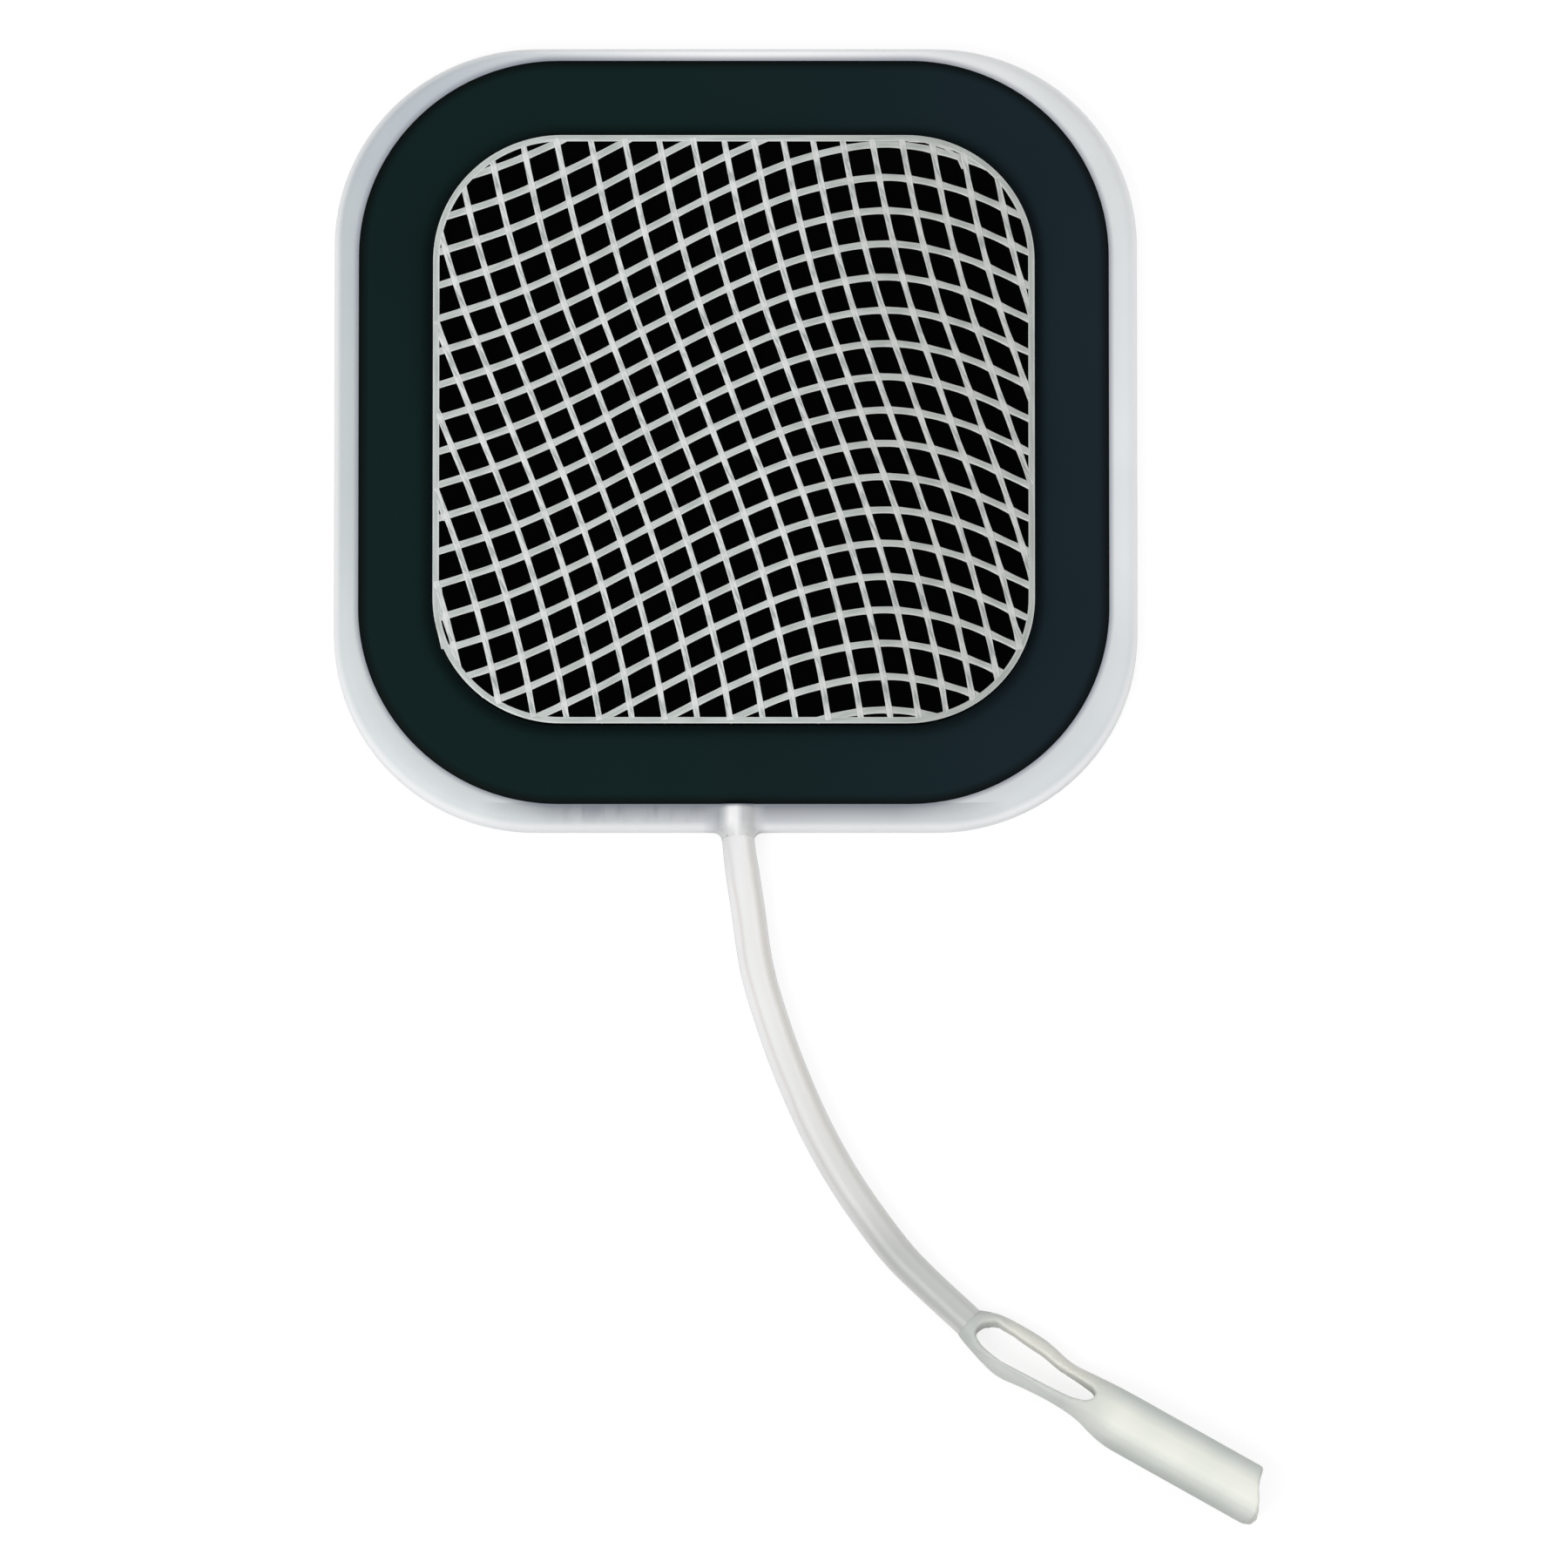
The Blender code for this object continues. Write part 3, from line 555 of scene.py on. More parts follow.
foam = {
    "corner": 12.5 * mm,
    "filmCorner": 12.4 * mm,
    "filmGap": 0.02 * mm,
    "flare": 0.55 * mm,
    "frontCuts": 249,
    "sideCuts": 50,
    "backSteps": 4,
    "backRound": 0.25 * mm,
    "sideHeight": 1.2 * mm,
    "rimRise": 0.7 * mm,
    "bead": ((0.0, 0.0), (0.03, 0.26), (0.08, 0.5), (0.2, 0.82), (0.42, 1.0), (0.7, 0.9), (1.0, 0.6)),
    "rows": (0.0, 0.012, 0.035, 0.07, 0.12, 0.18, 0.25, 0.33, 0.41, 0.5, 0.58, 0.66, 0.74, 0.82, 0.89,
             0.95, 1.0),
    "seatHeight": 1.5 * mm,
    "leadSkin": 0.05 * mm,
    "leadSkinFrom": 0.5 * mm,    # behind the pad's front
    "leadFillet": 0.6 * mm,
    "filletFade": 0.4,
    "ridgeReach": 2.5,    # in the lead's half width
    "ridgeSlope": 1.5,
    "ridgeEnd": 0.34 * mm,
    "ridgeLeast": 0.3,
    "collarReach": 1.9 * mm,
    "collarFlat": 0.8 * mm,
    "bedRadius": 0.975 * mm,
    "bedLength": 4 * mm,
    "bedEnd": -23.25 * mm,
    "pocketFloor": 1.3 * mm,
    "pocketHeight": 1 * mm,
    "pocketNear": 0.75 * mm,
    "pocketFar": 7.5 * mm,
    "pocketSpare": 0.1 * mm,
    "wrinkleStart": (-12.4 * mm, -10.4 * mm),
    "wrinkleStop": (-2.4 * mm, -0.9 * mm),
    "wrinkleFront": (3 * mm, 1 * mm),    # behind the pad's front
    "wrinkleDepth": 0.045 * mm,
    "wrinkleRows": 1.2,
    "wrinkles": ((1.0, 5.1, 0.0), (0.7, 9.7, 1.4)),    # height, turns in a millimetre, start
    "pleatPlaces": ((-12.4 * mm, -9.9 * mm), (-2.1 * mm, -3.3 * mm)),
    "pleatDepths": ((-1.4 * mm, -0.5 * mm), (0.6 * mm, 0.4 * mm)),    # behind the film's front
    "pleatStretch": (1, 0.12, 0.12),
    "pleatScale": 1500.0,
    "pleatLevels": (0.42, 0.6),
    # painted shade of the fine folds
    "pleatShade": (0.8, 0.81, 0.83),
    # painted light and shade: the rim's tone by angle round the pad, darkest at the top left and left, palest
    # at the top
    "around": ((0.0, (0.54, 0.58, 0.59)), (0.125, (0.65, 0.69, 0.69)), (0.25, (0.64, 0.65, 0.665)),
               (0.375, (0.64, 0.67, 0.68)), (0.5, (0.73, 0.755, 0.77)), (0.625, (0.65, 0.67, 0.67)),
               (0.75, (0.86, 0.86, 0.865)), (0.86, (0.48, 0.52, 0.55)), (1.0, (0.54, 0.58, 0.59))),
    "frontShade": ((0.0, (1, 1, 1)), (0.15, (1, 1, 1)), (0.19, (0.4, 0.42, 0.45)), (0.35, (0.48, 0.49, 0.52)),
                   (0.55, (0.64, 0.65, 0.67)), (0.76, (0.78, 0.79, 0.8)), (1.0, (1, 1, 1))),
    "frontShadeDepth": (0.4 * mm, -1.65 * mm),    # behind the film's front
    "frontShadeEnds": ((-16 * mm, -11 * mm), (17 * mm, 10 * mm)),
    # painted highlight along the rim's rounded outer edge
    "paintedEdgeTone": (0.9, 0.91, 0.92),
    "edgeReach": (-0.5 * mm, -0.08 * mm),
    "edgeMost": 0.9,
    # painted shade in the groove where the rim meets the film
    "grooveShade": (0.2, 0.22, 0.27),
    "grooveReach": (0.4 * mm, 0.0),
    "grooveMost": 0.75,
    "besideLead": 2.2 * mm,
    # painted highlight on the ridge over the lead, with painted shadows at its sides
    "ridgeLightAndShade": ((0.0, (0.4, 0.42, 0.45, 0)), (0.136, (0.37, 0.4, 0.43, 0.5)),
                 (0.227, (0.33, 0.35, 0.37, 0.9)), (0.307, (0.55, 0.57, 0.58, 1)),
                 (0.386, (0.88, 0.88, 0.88, 1)), (0.477, (0.86, 0.86, 0.86, 1)),
                 (0.568, (0.5, 0.51, 0.52, 1)), (0.682, (0.44, 0.45, 0.46, 1)),
                 (0.795, (0.48, 0.5, 0.52, 0.5)), (0.9, (0.48, 0.5, 0.52, 0))),
    "overLeadFrom": (-22.7 * mm, -23.1 * mm),
    # painted light across the collar: a highlight down its middle and shaded sides
    "collar": ((0.0, (0.7, 0.7, 0.7, 0)), (0.25, (0.72, 0.72, 0.72, 0.8)), (0.4, (0.74, 0.745, 0.745, 1)),
               (0.48, (0.86, 0.86, 0.86, 1)), (0.58, (0.7, 0.7, 0.7, 1)), (0.75, (0.72, 0.715, 0.7, 0.8)),
               (0.85, (0.7, 0.7, 0.7, 0))),
    "collarFrom": (-24.0 * mm, -24.9 * mm),
    "clouds": {"colour": (0.93, 0.935, 0.95), "scale": 140.0},
    "grain": {"Scale": 4200.0, "Depth": 0.012 * mm, "Strength": 0.35},
    "rough": (0.42, 0.62),
}
filmOutline = outlineOf("carbon_film", foam["filmCorner"])
padOutline = outlineOf("foam_backing", foam["corner"])
padOutline["halfY"] -= foam["flare"] / 2
padOutline["y"] += foam["flare"] / 2
padFront = padOutline["y"] - padOutline["halfY"]
filmFront = filmOutline["y"] - filmOutline["halfY"]
leadX, leadHeight = lead["exit"][0], lead["exit"][2]


def placeCollar(point):    # wraps the middle of the front edge out along the lead's sides
    off = point.x - leadX
    if point.y > padFront + hair or abs(off) > foam["collarReach"]:
        return point
    half = lead["radius"]
    if abs(off) < foam["collarFlat"]:
        turn = off / foam["collarFlat"] * quarterTurn
        return Vector((leadX + half * math.sin(turn), padFront - foam["flare"], point.z))
    share = (foam["collarReach"] - abs(off)) / (foam["collarReach"] - foam["collarFlat"])
    turn = share * quarterTurn
    across = half + foam["flare"] * (1 - math.sin(turn))
    back = foam["flare"] * (1 - math.cos(turn))
    return Vector((leadX + math.copysign(across, off), padFront - back, point.z))


def wrinkleAt(point, share):    # small waves in the front rim, left of the lead
    front = smoothStep(*(padFront + depth for depth in foam["wrinkleFront"]), point.y)
    within = smoothStep(*foam["wrinkleStart"], point.x) * (1 - smoothStep(*foam["wrinkleStop"], point.x))
    wave = sum(height * math.sin(point.x / mm * pace + start) for height, pace, start in foam["wrinkles"])
    fade = math.sin(math.pi * min(share * foam["wrinkleRows"], 1.0))
    return foam["wrinkleDepth"] * wave * within * front * fade


def riseOverLead(point, top, toFilm, share):    # the ridge over the lead rounds down to the film
    off = abs(point.x - leadX)
    skin = smoothStep(padFront - foam["flare"], padFront + foam["leadSkinFrom"], point.y)
    half = lead["radius"] + foam["leadSkin"] * skin
    if point.y > padOutline["y"] or off > foam["ridgeReach"] * half:
        return top
    ridge = leadHeight + math.sqrt(max(half * half - off * off, 0.0))
    ridge -= max(off - half, 0.0) * foam["ridgeSlope"]
    closing = max(1 - toFilm / foam["ridgeEnd"], 0.0)
    kept = foam["ridgeLeast"] + (1 - foam["ridgeLeast"]) * math.sqrt(1 - closing * closing)
    ridge = min(top, ridge) + max(ridge - top, 0.0) * kept
    return smoothMax(top, ridge, foam["leadFillet"] * smoothStep(0.0, 1.0, 1 - share * foam["filletFade"]))


def foamTop(point):    # height of the rim's skin over a point
    fromEdge = max(-outsideBy(padOutline, point), 0.0)
    toFilm = max(outsideBy(filmOutline, point) - foam["filmGap"], 0.0)
    share = fromEdge / max(fromEdge + toFilm, 0.001 * mm)
    top = foam["sideHeight"] + foam["rimRise"] * hermite(foam["bead"], share) + wrinkleAt(point, share)
    return riseOverLead(point, top, toFilm, share)


def shadePleats(tree, colour, place):    # the finest folds are only painted shade, darker streaks in the colour
    stretched = addNode(tree, "Mapping", {"Vector": place, "Scale": foam["pleatStretch"]}).outputs[0]
    share = mapRange(tree, addNoise(tree, stretched, foam["pleatScale"], 2.0), *foam["pleatLevels"])
    for places in foam["pleatPlaces"]:
        share = maths(tree, "MULTIPLY", share, shareAlong(tree, places))
    for depths in foam["pleatDepths"]:
        places = [filmFront + depth for depth in depths]
        share = maths(tree, "MULTIPLY", share, shareAlong(tree, places, backward))
    return mixColours(tree, 1.0, colour, mixColours(tree, share, white, foam["pleatShade"]), "MULTIPLY")


def makeFoamMaterial():
    material, tree, shader = newMaterial("foamSkin", foam["around"][0][1], 0.5, Subsurface_Weight=0.12,
                                         Subsurface_Radius=(1, 1, 1), Subsurface_Scale=0.6 * mm)
    place = objectPlace(tree)
    sides = splitVector(tree, place)
    # painted light and shade round the rim, by angle
    turn = mapRange(tree, maths(tree, "ARCTAN2", sides["Y"], sides["X"]), -math.pi, math.pi)
    colour = clouded(tree, colourRamp(tree, turn, foam["around"], "EASE")[0], foam["clouds"])
    # painted highlight along the rim's outer edge
    edge = nearOutline(tree, padOutline, foam["edgeReach"], foam["edgeMost"])
    colour = mixColours(tree, edge, colour, foam["paintedEdgeTone"])
    depth = shareAlong(tree, [filmFront + reach for reach in foam["frontShadeDepth"]], backward)
    frontShare = maths(tree, "MULTIPLY", *(shareAlong(tree, end) for end in foam["frontShadeEnds"]))
    shade = colourRamp(tree, depth, foam["frontShade"])[0]
    colour = shadePleats(tree, mixColours(tree, frontShare, colour, shade, "MULTIPLY"), place)
    beside = shareAlong(tree, (leadX - foam["besideLead"], leadX + foam["besideLead"]))
    # painted light and shade over the ridge and the collar
    for stops, places in (("ridgeLightAndShade", "overLeadFrom"), ("collar", "collarFrom")):
        over, alpha = colourRamp(tree, beside, foam[stops])
        share = maths(tree, "MULTIPLY", alpha, shareAlong(tree, foam[places], backward))
        colour = mixColours(tree, share, colour, over)
    # painted shade in the groove along the film's edge
    groove = nearOutline(tree, filmOutline, foam["grooveReach"], foam["grooveMost"])
    dressShader(tree, shader, mixColours(tree, groove, colour, foam["grooveShade"]),
                useGroup(tree, skinGrain, **foam["grain"]), foam["rough"])
    return material


def growRow(piece, row, place):    # extrudes the picked loop and puts its vertices where place says
    verts = piece.data.vertices
    spots = {tuple(round(value / mm, 4) for value in verts[index].co): base for index, base in row.items()}
    bpy.ops.mesh.extrude_region_move()
    objectMode()
    fresh = {}
    for vert in piece.data.vertices:
        if vert.select:
            fresh[vert.index] = spots[tuple(round(value / mm, 4) for value in vert.co)]
    for index, base in fresh.items():
        piece.data.vertices[index].co = place(base)
    editMode()
    return fresh


def backRow(base, turn):    # one row of the rounded edge round the back
    shrink = 1 - foam["backRound"] * (1 - math.sin(turn)) / padOutline["halfX"]
    return Vector((base.x * shrink, padOutline["y"] + (base.y - padOutline["y"]) * shrink,
                   foam["backRound"] * (1 - math.cos(turn))))


def rimRow(base, share):    # one row of the rim, from its outer edge to the film
    point = Vector((base.x, base.y, 0)).lerp(nearestOn(filmOutline, base, foam["filmGap"]), share)
    return Vector((point.x, point.y, foamTop(point)))


def seatRow(base):
    inner = nearestOn(filmOutline, base, foam["filmGap"])
    return Vector((inner.x, inner.y, foam["seatHeight"]))


def cutAway(piece, cutter):
    applyModifier(piece, "BOOLEAN", operation="DIFFERENCE", solver="EXACT", object=cutter)
    bpy.data.objects.remove(cutter)


def cutLeadBed(tray):
    deselectAll()
    middle = (leadX, foam["bedEnd"] - foam["bedLength"] / 2, leadHeight)
    bpy.ops.mesh.primitive_cylinder_add(vertices=64, radius=foam["bedRadius"], depth=foam["bedLength"],
                                        location=middle, rotation=(quarterTurn, 0, 0))
    cutAway(tray, bpy.context.object)


def cutStrandPocket(tray):    # shallow hollow under the film for the fanned strands
    low, high = filmFront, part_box("conductor_fan")[1].y + foam["pocketSpare"]
    middle = (low + high) / 2
    deselectAll()
    bpy.ops.mesh.primitive_cube_add(
        size=1, location=(leadX, middle, foam["pocketFloor"] + foam["pocketHeight"] / 2))
    block = bpy.context.object
    block.scale = (2 * foam["pocketNear"], high - low, foam["pocketHeight"])
    applyTransform()
    pickVerts(block, lambda point: point.y > middle)
    widening = foam["pocketFar"] / foam["pocketNear"]
    bpy.ops.transform.resize(value=(widening, 1, 1), center_override=(leadX, 0, 0))
    objectMode()
    cutAway(tray, block)


def makeFoam():
    tray = roundedPlate("rimFoam", padOutline, 0, foam["sideCuts"], foam["frontCuts"])
    pickAll()
    bpy.ops.mesh.delete(type="ONLY_FACE")
    moveVerts(tray, placeCollar)
    row = {vert.index: vert.co.copy() for vert in tray.data.vertices}
    moveVerts(tray, lambda point: backRow(point, 0))
    editMode()
    bpy.ops.mesh.select_mode(type="EDGE")
    pickAll()
    bpy.ops.mesh.edge_face_add()
    for step in range(foam["backSteps"]):
        turn = quarterTurn * (step + 1) / foam["backSteps"]
        row = growRow(tray, row, lambda base: backRow(base, turn))
    for share in foam["rows"]:
        row = growRow(tray, row, lambda base: rimRow(base, share))
    growRow(tray, row, seatRow)
    faceOutwards()
    objectMode()
    cutLeadBed(tray)
    cutStrandPocket(tray)
    tray.data.materials.append(makeFoamMaterial())
    finishPiece(tray, "foam_backing", 50)
    return tray


rimFoam = makeFoam()
print("foam backing made")


# Carbon film, its edge rolled down into the seat and a faint ridge over the strands

film = {
    "sideCuts": 60,
    "frontCuts": 120,
    "rings": (0.06, 0.08, 0.12, 0.2) + (0.45,) * 10,    # widths from the edge inwards, in millimetres
    "edgeDrop": 0.1 * mm,
    "edgeReach": 0.22 * mm,
    "ridgeX": -0.7 * mm,
    "ridgeHalf": 0.9 * mm,
    "ridgeHeight": 0.09 * mm,
    "ridgeFront": (9 * mm, 1 * mm),    # behind the film's front
    "ridgeEdge": 0.4 * mm,
    "wetMargin": 0.15 * mm,
    "colour": (0.0035, 0.0135, 0.0135),
    # painted sheen: the film turns bluer and lighter towards the right
    "sheenColour": (0.0085, 0.017, 0.0235),
    "sheenToRight": (-4 * mm, 24 * mm),
    # colour of the painted shade along the film's edge and round the gel
    "paintedEdgeTone": (0.0008, 0.0018, 0.0018),
    "nearEdge": (-0.7 * mm, 0.0),
    "edgeMost": 0.9,
    "nearGel": (0.9 * mm, 0.0),
    "gelMost": 0.62,
    "wetColour": (0.0005, 0.0006, 0.001),
    "clouds": {"colour": (0.8, 0.85, 0.86), "scale": 45.0},
    "grain": {"Scale": 9000.0, "Depth": 0.006 * mm, "Strength": 0.3},
    "wetGrain": {"Scale": 9000.0, "Depth": 0.004 * mm, "Strength": 0.2},
    "rough": (0.5, 0.68),
}
gelOutline = outlineOf("hydrogel", 8.0 * mm)
filmLow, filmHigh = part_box("carbon_film")


def filmTop(point):
    if point.z < filmHigh.z - hair:
        return point
    inside = max(-outsideBy(filmOutline, point), 0.0)
    drop = film["edgeDrop"] * math.exp(-(inside / film["edgeReach"]) ** 2)
    off = (point.x - film["ridgeX"]) / film["ridgeHalf"]
    front = smoothStep(*(filmLow.y + depth for depth in film["ridgeFront"]), point.y)
    ridge = film["ridgeHeight"] * math.exp(-off * off) * front * smoothStep(0, film["ridgeEdge"], inside)
    return Vector((point.x, point.y, point.z - drop + ridge))


def makeFilmMaterial():
    material, tree, shader = newMaterial("carbonSheet", film["colour"], 0.55, Specular_IOR_Level=0.06)
    # painted sheen, stronger towards the right
    sheenToRight = shareAlong(tree, film["sheenToRight"])
    colour = clouded(tree, mixColours(tree, sheenToRight, film["colour"], film["sheenColour"]), film["clouds"])
    # painted shade along the film's edge and round the gel patch
    dark = maths(tree, "MAXIMUM", nearOutline(tree, filmOutline, film["nearEdge"], film["edgeMost"]),
                 nearOutline(tree, gelOutline, film["nearGel"], film["gelMost"]))
    dressShader(tree, shader, mixColours(tree, dark, colour, film["paintedEdgeTone"]),
                useGroup(tree, skinGrain, **film["grain"]), film["rough"])
    return material


def makeWetFilmMaterial():    # where the gel wets the film it turns a deeper black
    material, tree, shader = newMaterial("wetCarbonSheet", film["wetColour"], 0.4, Specular_IOR_Level=0.0)
    plug(tree, useGroup(tree, skinGrain, **film["wetGrain"])["Normal"], shader.inputs["Normal"])
    return material


def raiseSheet(height):    # a flat sheet in edit mode gets this thickness
    bpy.ops.mesh.select_mode(type="FACE")
    pickAll()
    bpy.ops.mesh.extrude_region_move(TRANSFORM_OT_translate={"value": (0, 0, height)})


def makeFilm():
    sheet = roundedPlate("carbonSheet", filmOutline, filmLow.z, film["sideCuts"], film["frontCuts"])
    raiseSheet(filmHigh.z - filmLow.z)
    for width in film["rings"]:
        bpy.ops.mesh.inset(thickness=width * mm)
    sheet.data.materials.append(makeFilmMaterial())
    sheet.data.materials.append(makeWetFilmMaterial())
    sheet.active_material_index = 1
    bpy.ops.object.material_slot_assign()
    objectMode()
    for vert in sheet.data.vertices:
        if vert.select:
            vert.co = nearestOn(gelOutline, vert.co, -film["wetMargin"]) + Vector((0, 0, filmHigh.z))
    editMode()
    faceOutwards()
    moveVerts(sheet, filmTop)
    finishPiece(sheet, "carbon_film", 50)


makeFilm()
print("film made")


# Gel patch, clear and glossy, wetted onto the film

gel = {
    "sideCuts": 40,
    "edgeRound": 0.22 * mm,
    "wetting": 0.04 * mm,
    "colour": (0.97, 0.985, 0.99),
    "ior": 1.36,
    "grain": {"Scale": 260.0, "Depth": 0.02 * mm, "Strength": 0.15},
    "rough": (0.015, 0.06),
}


def makeGelMaterial():
    material, tree, shader = newMaterial("clearGel", gel["colour"], 0.03, IOR=gel["ior"],
                                         Transmission_Weight=1.0)
    dressShader(tree, shader, gel["colour"], useGroup(tree, skinGrain, **gel["grain"]), gel["rough"])
    return material


def makeGel():
    low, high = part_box("hydrogel")
    base = low.z - gel["wetting"]
    slab = roundedPlate("gelPatch", gelOutline, base, gel["sideCuts"], gel["sideCuts"])
    raiseSheet(high.z - base)
    bpy.ops.mesh.bevel(offset=gel["edgeRound"], segments=6)
    faceOutwards()
    slab.data.materials.append(makeGelMaterial())
    finishPiece(slab, "hydrogel", 50)


makeGel()
print("gel made")


# Net in the gel's face: flat wefts, twisted warps over them and a border strand

net = {
    "inset": 0.02 * mm,
    "border": 0.39 * mm,
    "borderHeight": 0.09 * mm,    # heights are over the gel's face
    "arcSteps": 32,
    "sideSteps": 40,
    "weftWidth": 0.425 * mm,
    "weftHeight": 0.04 * mm,
    "warpWidth": 0.35 * mm,
    "warpHeight": 0.06 * mm,
    "flatness": 0.3,
    "weftPitch": 2.114 * mm,
    "warpPitchWide": 2.08 * mm,
    "warpPitchClose": 1.8 * mm,
    "warpCloseStart": 0.36 * mm,
    "firstWarp": 0.82 * mm,
    "crestWeft": 1.2 * mm,
    "weftFall": ((-19, 11.3), (-14, 9.65), (-9.5, 7.6), (-5, 5.2), (0, 2.65), (4.5, 0.85),
                 (9.4, 0.0), (14, 0.8), (19, 2.95)),
    "warpLean": ((-19, -5.3), (-15.6, -4.7), (-11.7, -3.8), (-8, -2.75), (-4, -1.4), (0, 0.1),
                 (4, 1.55), (8, 2.95), (13, 4.3), (19, 5.5)),
    "leanLoss": 0.0045,
    "leanRounds": 8,
    "warps": range(-12, 14),
    "wefts": range(-16, 18),
    "stepsBetween": 5,
    "crossingRise": 0.09 * mm,
    "crossingReach": 0.3 * mm,
    "crossingFlare": 0.16,
    "right": (6 * mm, 17 * mm),    # the strands widen differently on the right
    "rightReach": 0.4,
    "rightFlare": 0.16,
    "rightWidening": -0.08,
    "cutKnot": 0.6,    # how far an end at the border is knotted
    "weftColours": ((0.4, 0.44, 0.42), (0.5, 0.54, 0.52)),
    "warpColours": ((0.3, 0.34, 0.33), (0.66, 0.68, 0.67)),
    "weftFibres": {"Twist": 0.02, "Across": 5.0, "Along": 0.4, "Depth": 0.02 * mm},
    "warpFibres": {"Twist": 0.12, "Across": 9.0, "Along": 0.9, "Depth": 0.02 * mm},
    "fibreLevels": (0.38, 0.58),
    # painted highlight along each strand's sides, from these levels up to this share
    "edgeLevels": (0.66, 0.86),
    "edgeMost": 0.42,
    "knotMost": 0.8,
    "knotColour": (0.69, 0.71, 0.7),
    "rightTint": (0.8, 0.79, 0.78),
    "tinting": (2 * mm, 12 * mm),
    # colour of the painted highlight on the strands' sides
    "sideHighlight": (0.8, 0.82, 0.81),
    "rough": (0.5, 0.3),
    "strayHeight": 0.1 * mm,
    "strayKnot": 0.3,
    "strays": (    # half width, then places in millimetres: doubled and broken threads along the border
        (0.2, (-18.66, 7.48), (-18.34, 6.54), (-17.96, 5.6)),
        (0.18, (-18.66, -3.11), (-18.39, -4.1), (-18.01, -5.15)),
        (0.09, (-18.6, -7.25), (-18.55, -9.29)),
        (0.2, (-18.5, -9.29), (-18.28, -11.17)),
        (0.13, (-18.17, -11.28), (-17.85, -12.2), (-17.52, -13.16)),
        (0.09, (-18.6, -11.56), (-18.2, -13.32)),
        (0.1, (-16.5, -15.5), (-15.63, -16.36)),
        (0.1, (10.75, 19.0), (11.78, 18.95), (13.03, 18.56), (13.84, 17.96), (14.17, 17.2)),
        (0.12, (17.2, -11.1), (17.45, -11.9), (17.78, -12.65)),
    ),
}
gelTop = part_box("hydrogel")[1].z


def warpStart(warp):    # the warps lie closer together on the right
    return min(warp * net["warpPitchWide"],
               warp * net["warpPitchClose"] + net["warpCloseStart"]) + net["firstWarp"]


def netPoint(warp, weft):    # where a warp and a weft cross; parts of a number lie between strands
    x, y = warpStart(warp), 0.0
    for _ in range(net["leanRounds"]):
        y = net["crestWeft"] + weft * net["weftPitch"] - hermite(net["weftFall"], x / mm) * mm
        lean = hermite(net["warpLean"], y / mm) * mm * (1 - net["leanLoss"] * x / mm)
        x = warpStart(warp) - lean
    return Vector((x + gelOutline["x"], y + gelOutline["y"], 0))


def crossings(counts):    # from the first crossing to the last, with steps between
    between = net["stepsBetween"]
    return [step / between for step in range(counts[0] * between, counts[-1] * between)]


def strandRuns(places, height, rise, half):    # the parts of a strand that lie inside the border
    inset = net["inset"] + net["border"] / 2
    runs, run, last = [], [], None
    for flat, along in places:
        right = smoothStep(*net["right"], flat.x)
        crossing = abs(along - round(along)) * net["weftPitch"]
        near = math.exp(-(crossing / (net["crossingReach"] * (1 + net["rightReach"] * right))) ** 2)
        flare = net["crossingFlare"] + net["rightFlare"] * right
        wide = half * (1 + net["rightWidening"] * right) * (1 + flare * near)
        point = Vector((flat.x, flat.y, gelTop + height + rise * near))
        depth = -outsideBy(gelOutline, flat) - inset
        if last and (depth > 0) != (last[1] > 0):
            share = last[1] / (last[1] - depth)
            run.append((last[0].lerp(point, share), wide, net["cutKnot"]))
            if depth <= 0:
                runs.append(run)
                run = []
        if depth > 0:
            run.append((point, wide, near))
        last = (point, depth)
    return [run for run in runs if len(run) > 2]


def borderRun(inset, half, height):    # four corners, each with the straight side that follows it
    wideX, wideY = coreOf(gelOutline)
    arcs = []
    for quarter, (sideX, sideY) in enumerate(((1, 1), (-1, 1), (-1, -1), (1, -1))):
        centre = Vector((gelOutline["x"] + sideX * wideX, gelOutline["y"] + sideY * wideY, gelTop + height))
        turns = [quarterTurn * (quarter + step / net["arcSteps"]) for step in range(net["arcSteps"] + 1)]
        reach = gelOutline["corner"] - inset
        arcs.append([centre + reach * Vector((math.cos(turn), math.sin(turn), 0)) for turn in turns])
    points = []
    for arc, following in zip(arcs, arcs[1:] + arcs[:1]):
        shares = [step / net["sideSteps"] for step in range(1, net["sideSteps"])]
        points += arc + [arc[-1].lerp(following[0], share) for share in shares]
    return [(point, half, 0.0) for point in points]


def makeProfile():
    deselectAll()
    bpy.ops.curve.primitive_bezier_circle_add(radius=1)
    profile = bpy.context.object
    profile.name = "strandProfile"
    profile.scale = (1, net["flatness"], 1)
    bpy.ops.object.transform_apply(location=False, rotation=False, scale=True)
    profile.data.resolution_u = 2
    return profile


def makeStrand(name, run, profile, material, closed=False):    # a run has points, half widths and knots
    strand = wireAlong(name, [(point, half) for point, half, _ in run], closed, twist_mode="Z_UP",
                       bevel_mode="OBJECT", bevel_object=profile)
    makeActive(strand)
    bpy.ops.object.convert(target="MESH")
    strand = bpy.context.object
    strand.data.materials.clear()
    strand.data.materials.append(material)
    length = sum((near[0] - far[0]).length for near, far in zip(run, run[1:])) / mm
    knots = strand.data.attributes.new("knot", "FLOAT", "CORNER")
    which = strand.data.attributes.new("strand", "FLOAT", "CORNER")
    chance = random.random()
    for corner, knot, own in zip(strand.data.uv_layers[0].data, knots.data, which.data):
        knot.value = run[round(corner.uv.x * (len(run) - 1))][2]
        own.value = chance
        corner.uv.x *= length
    mergeVerts(strand, 0.001 * mm)    # joins the caps to the tube
    return strand


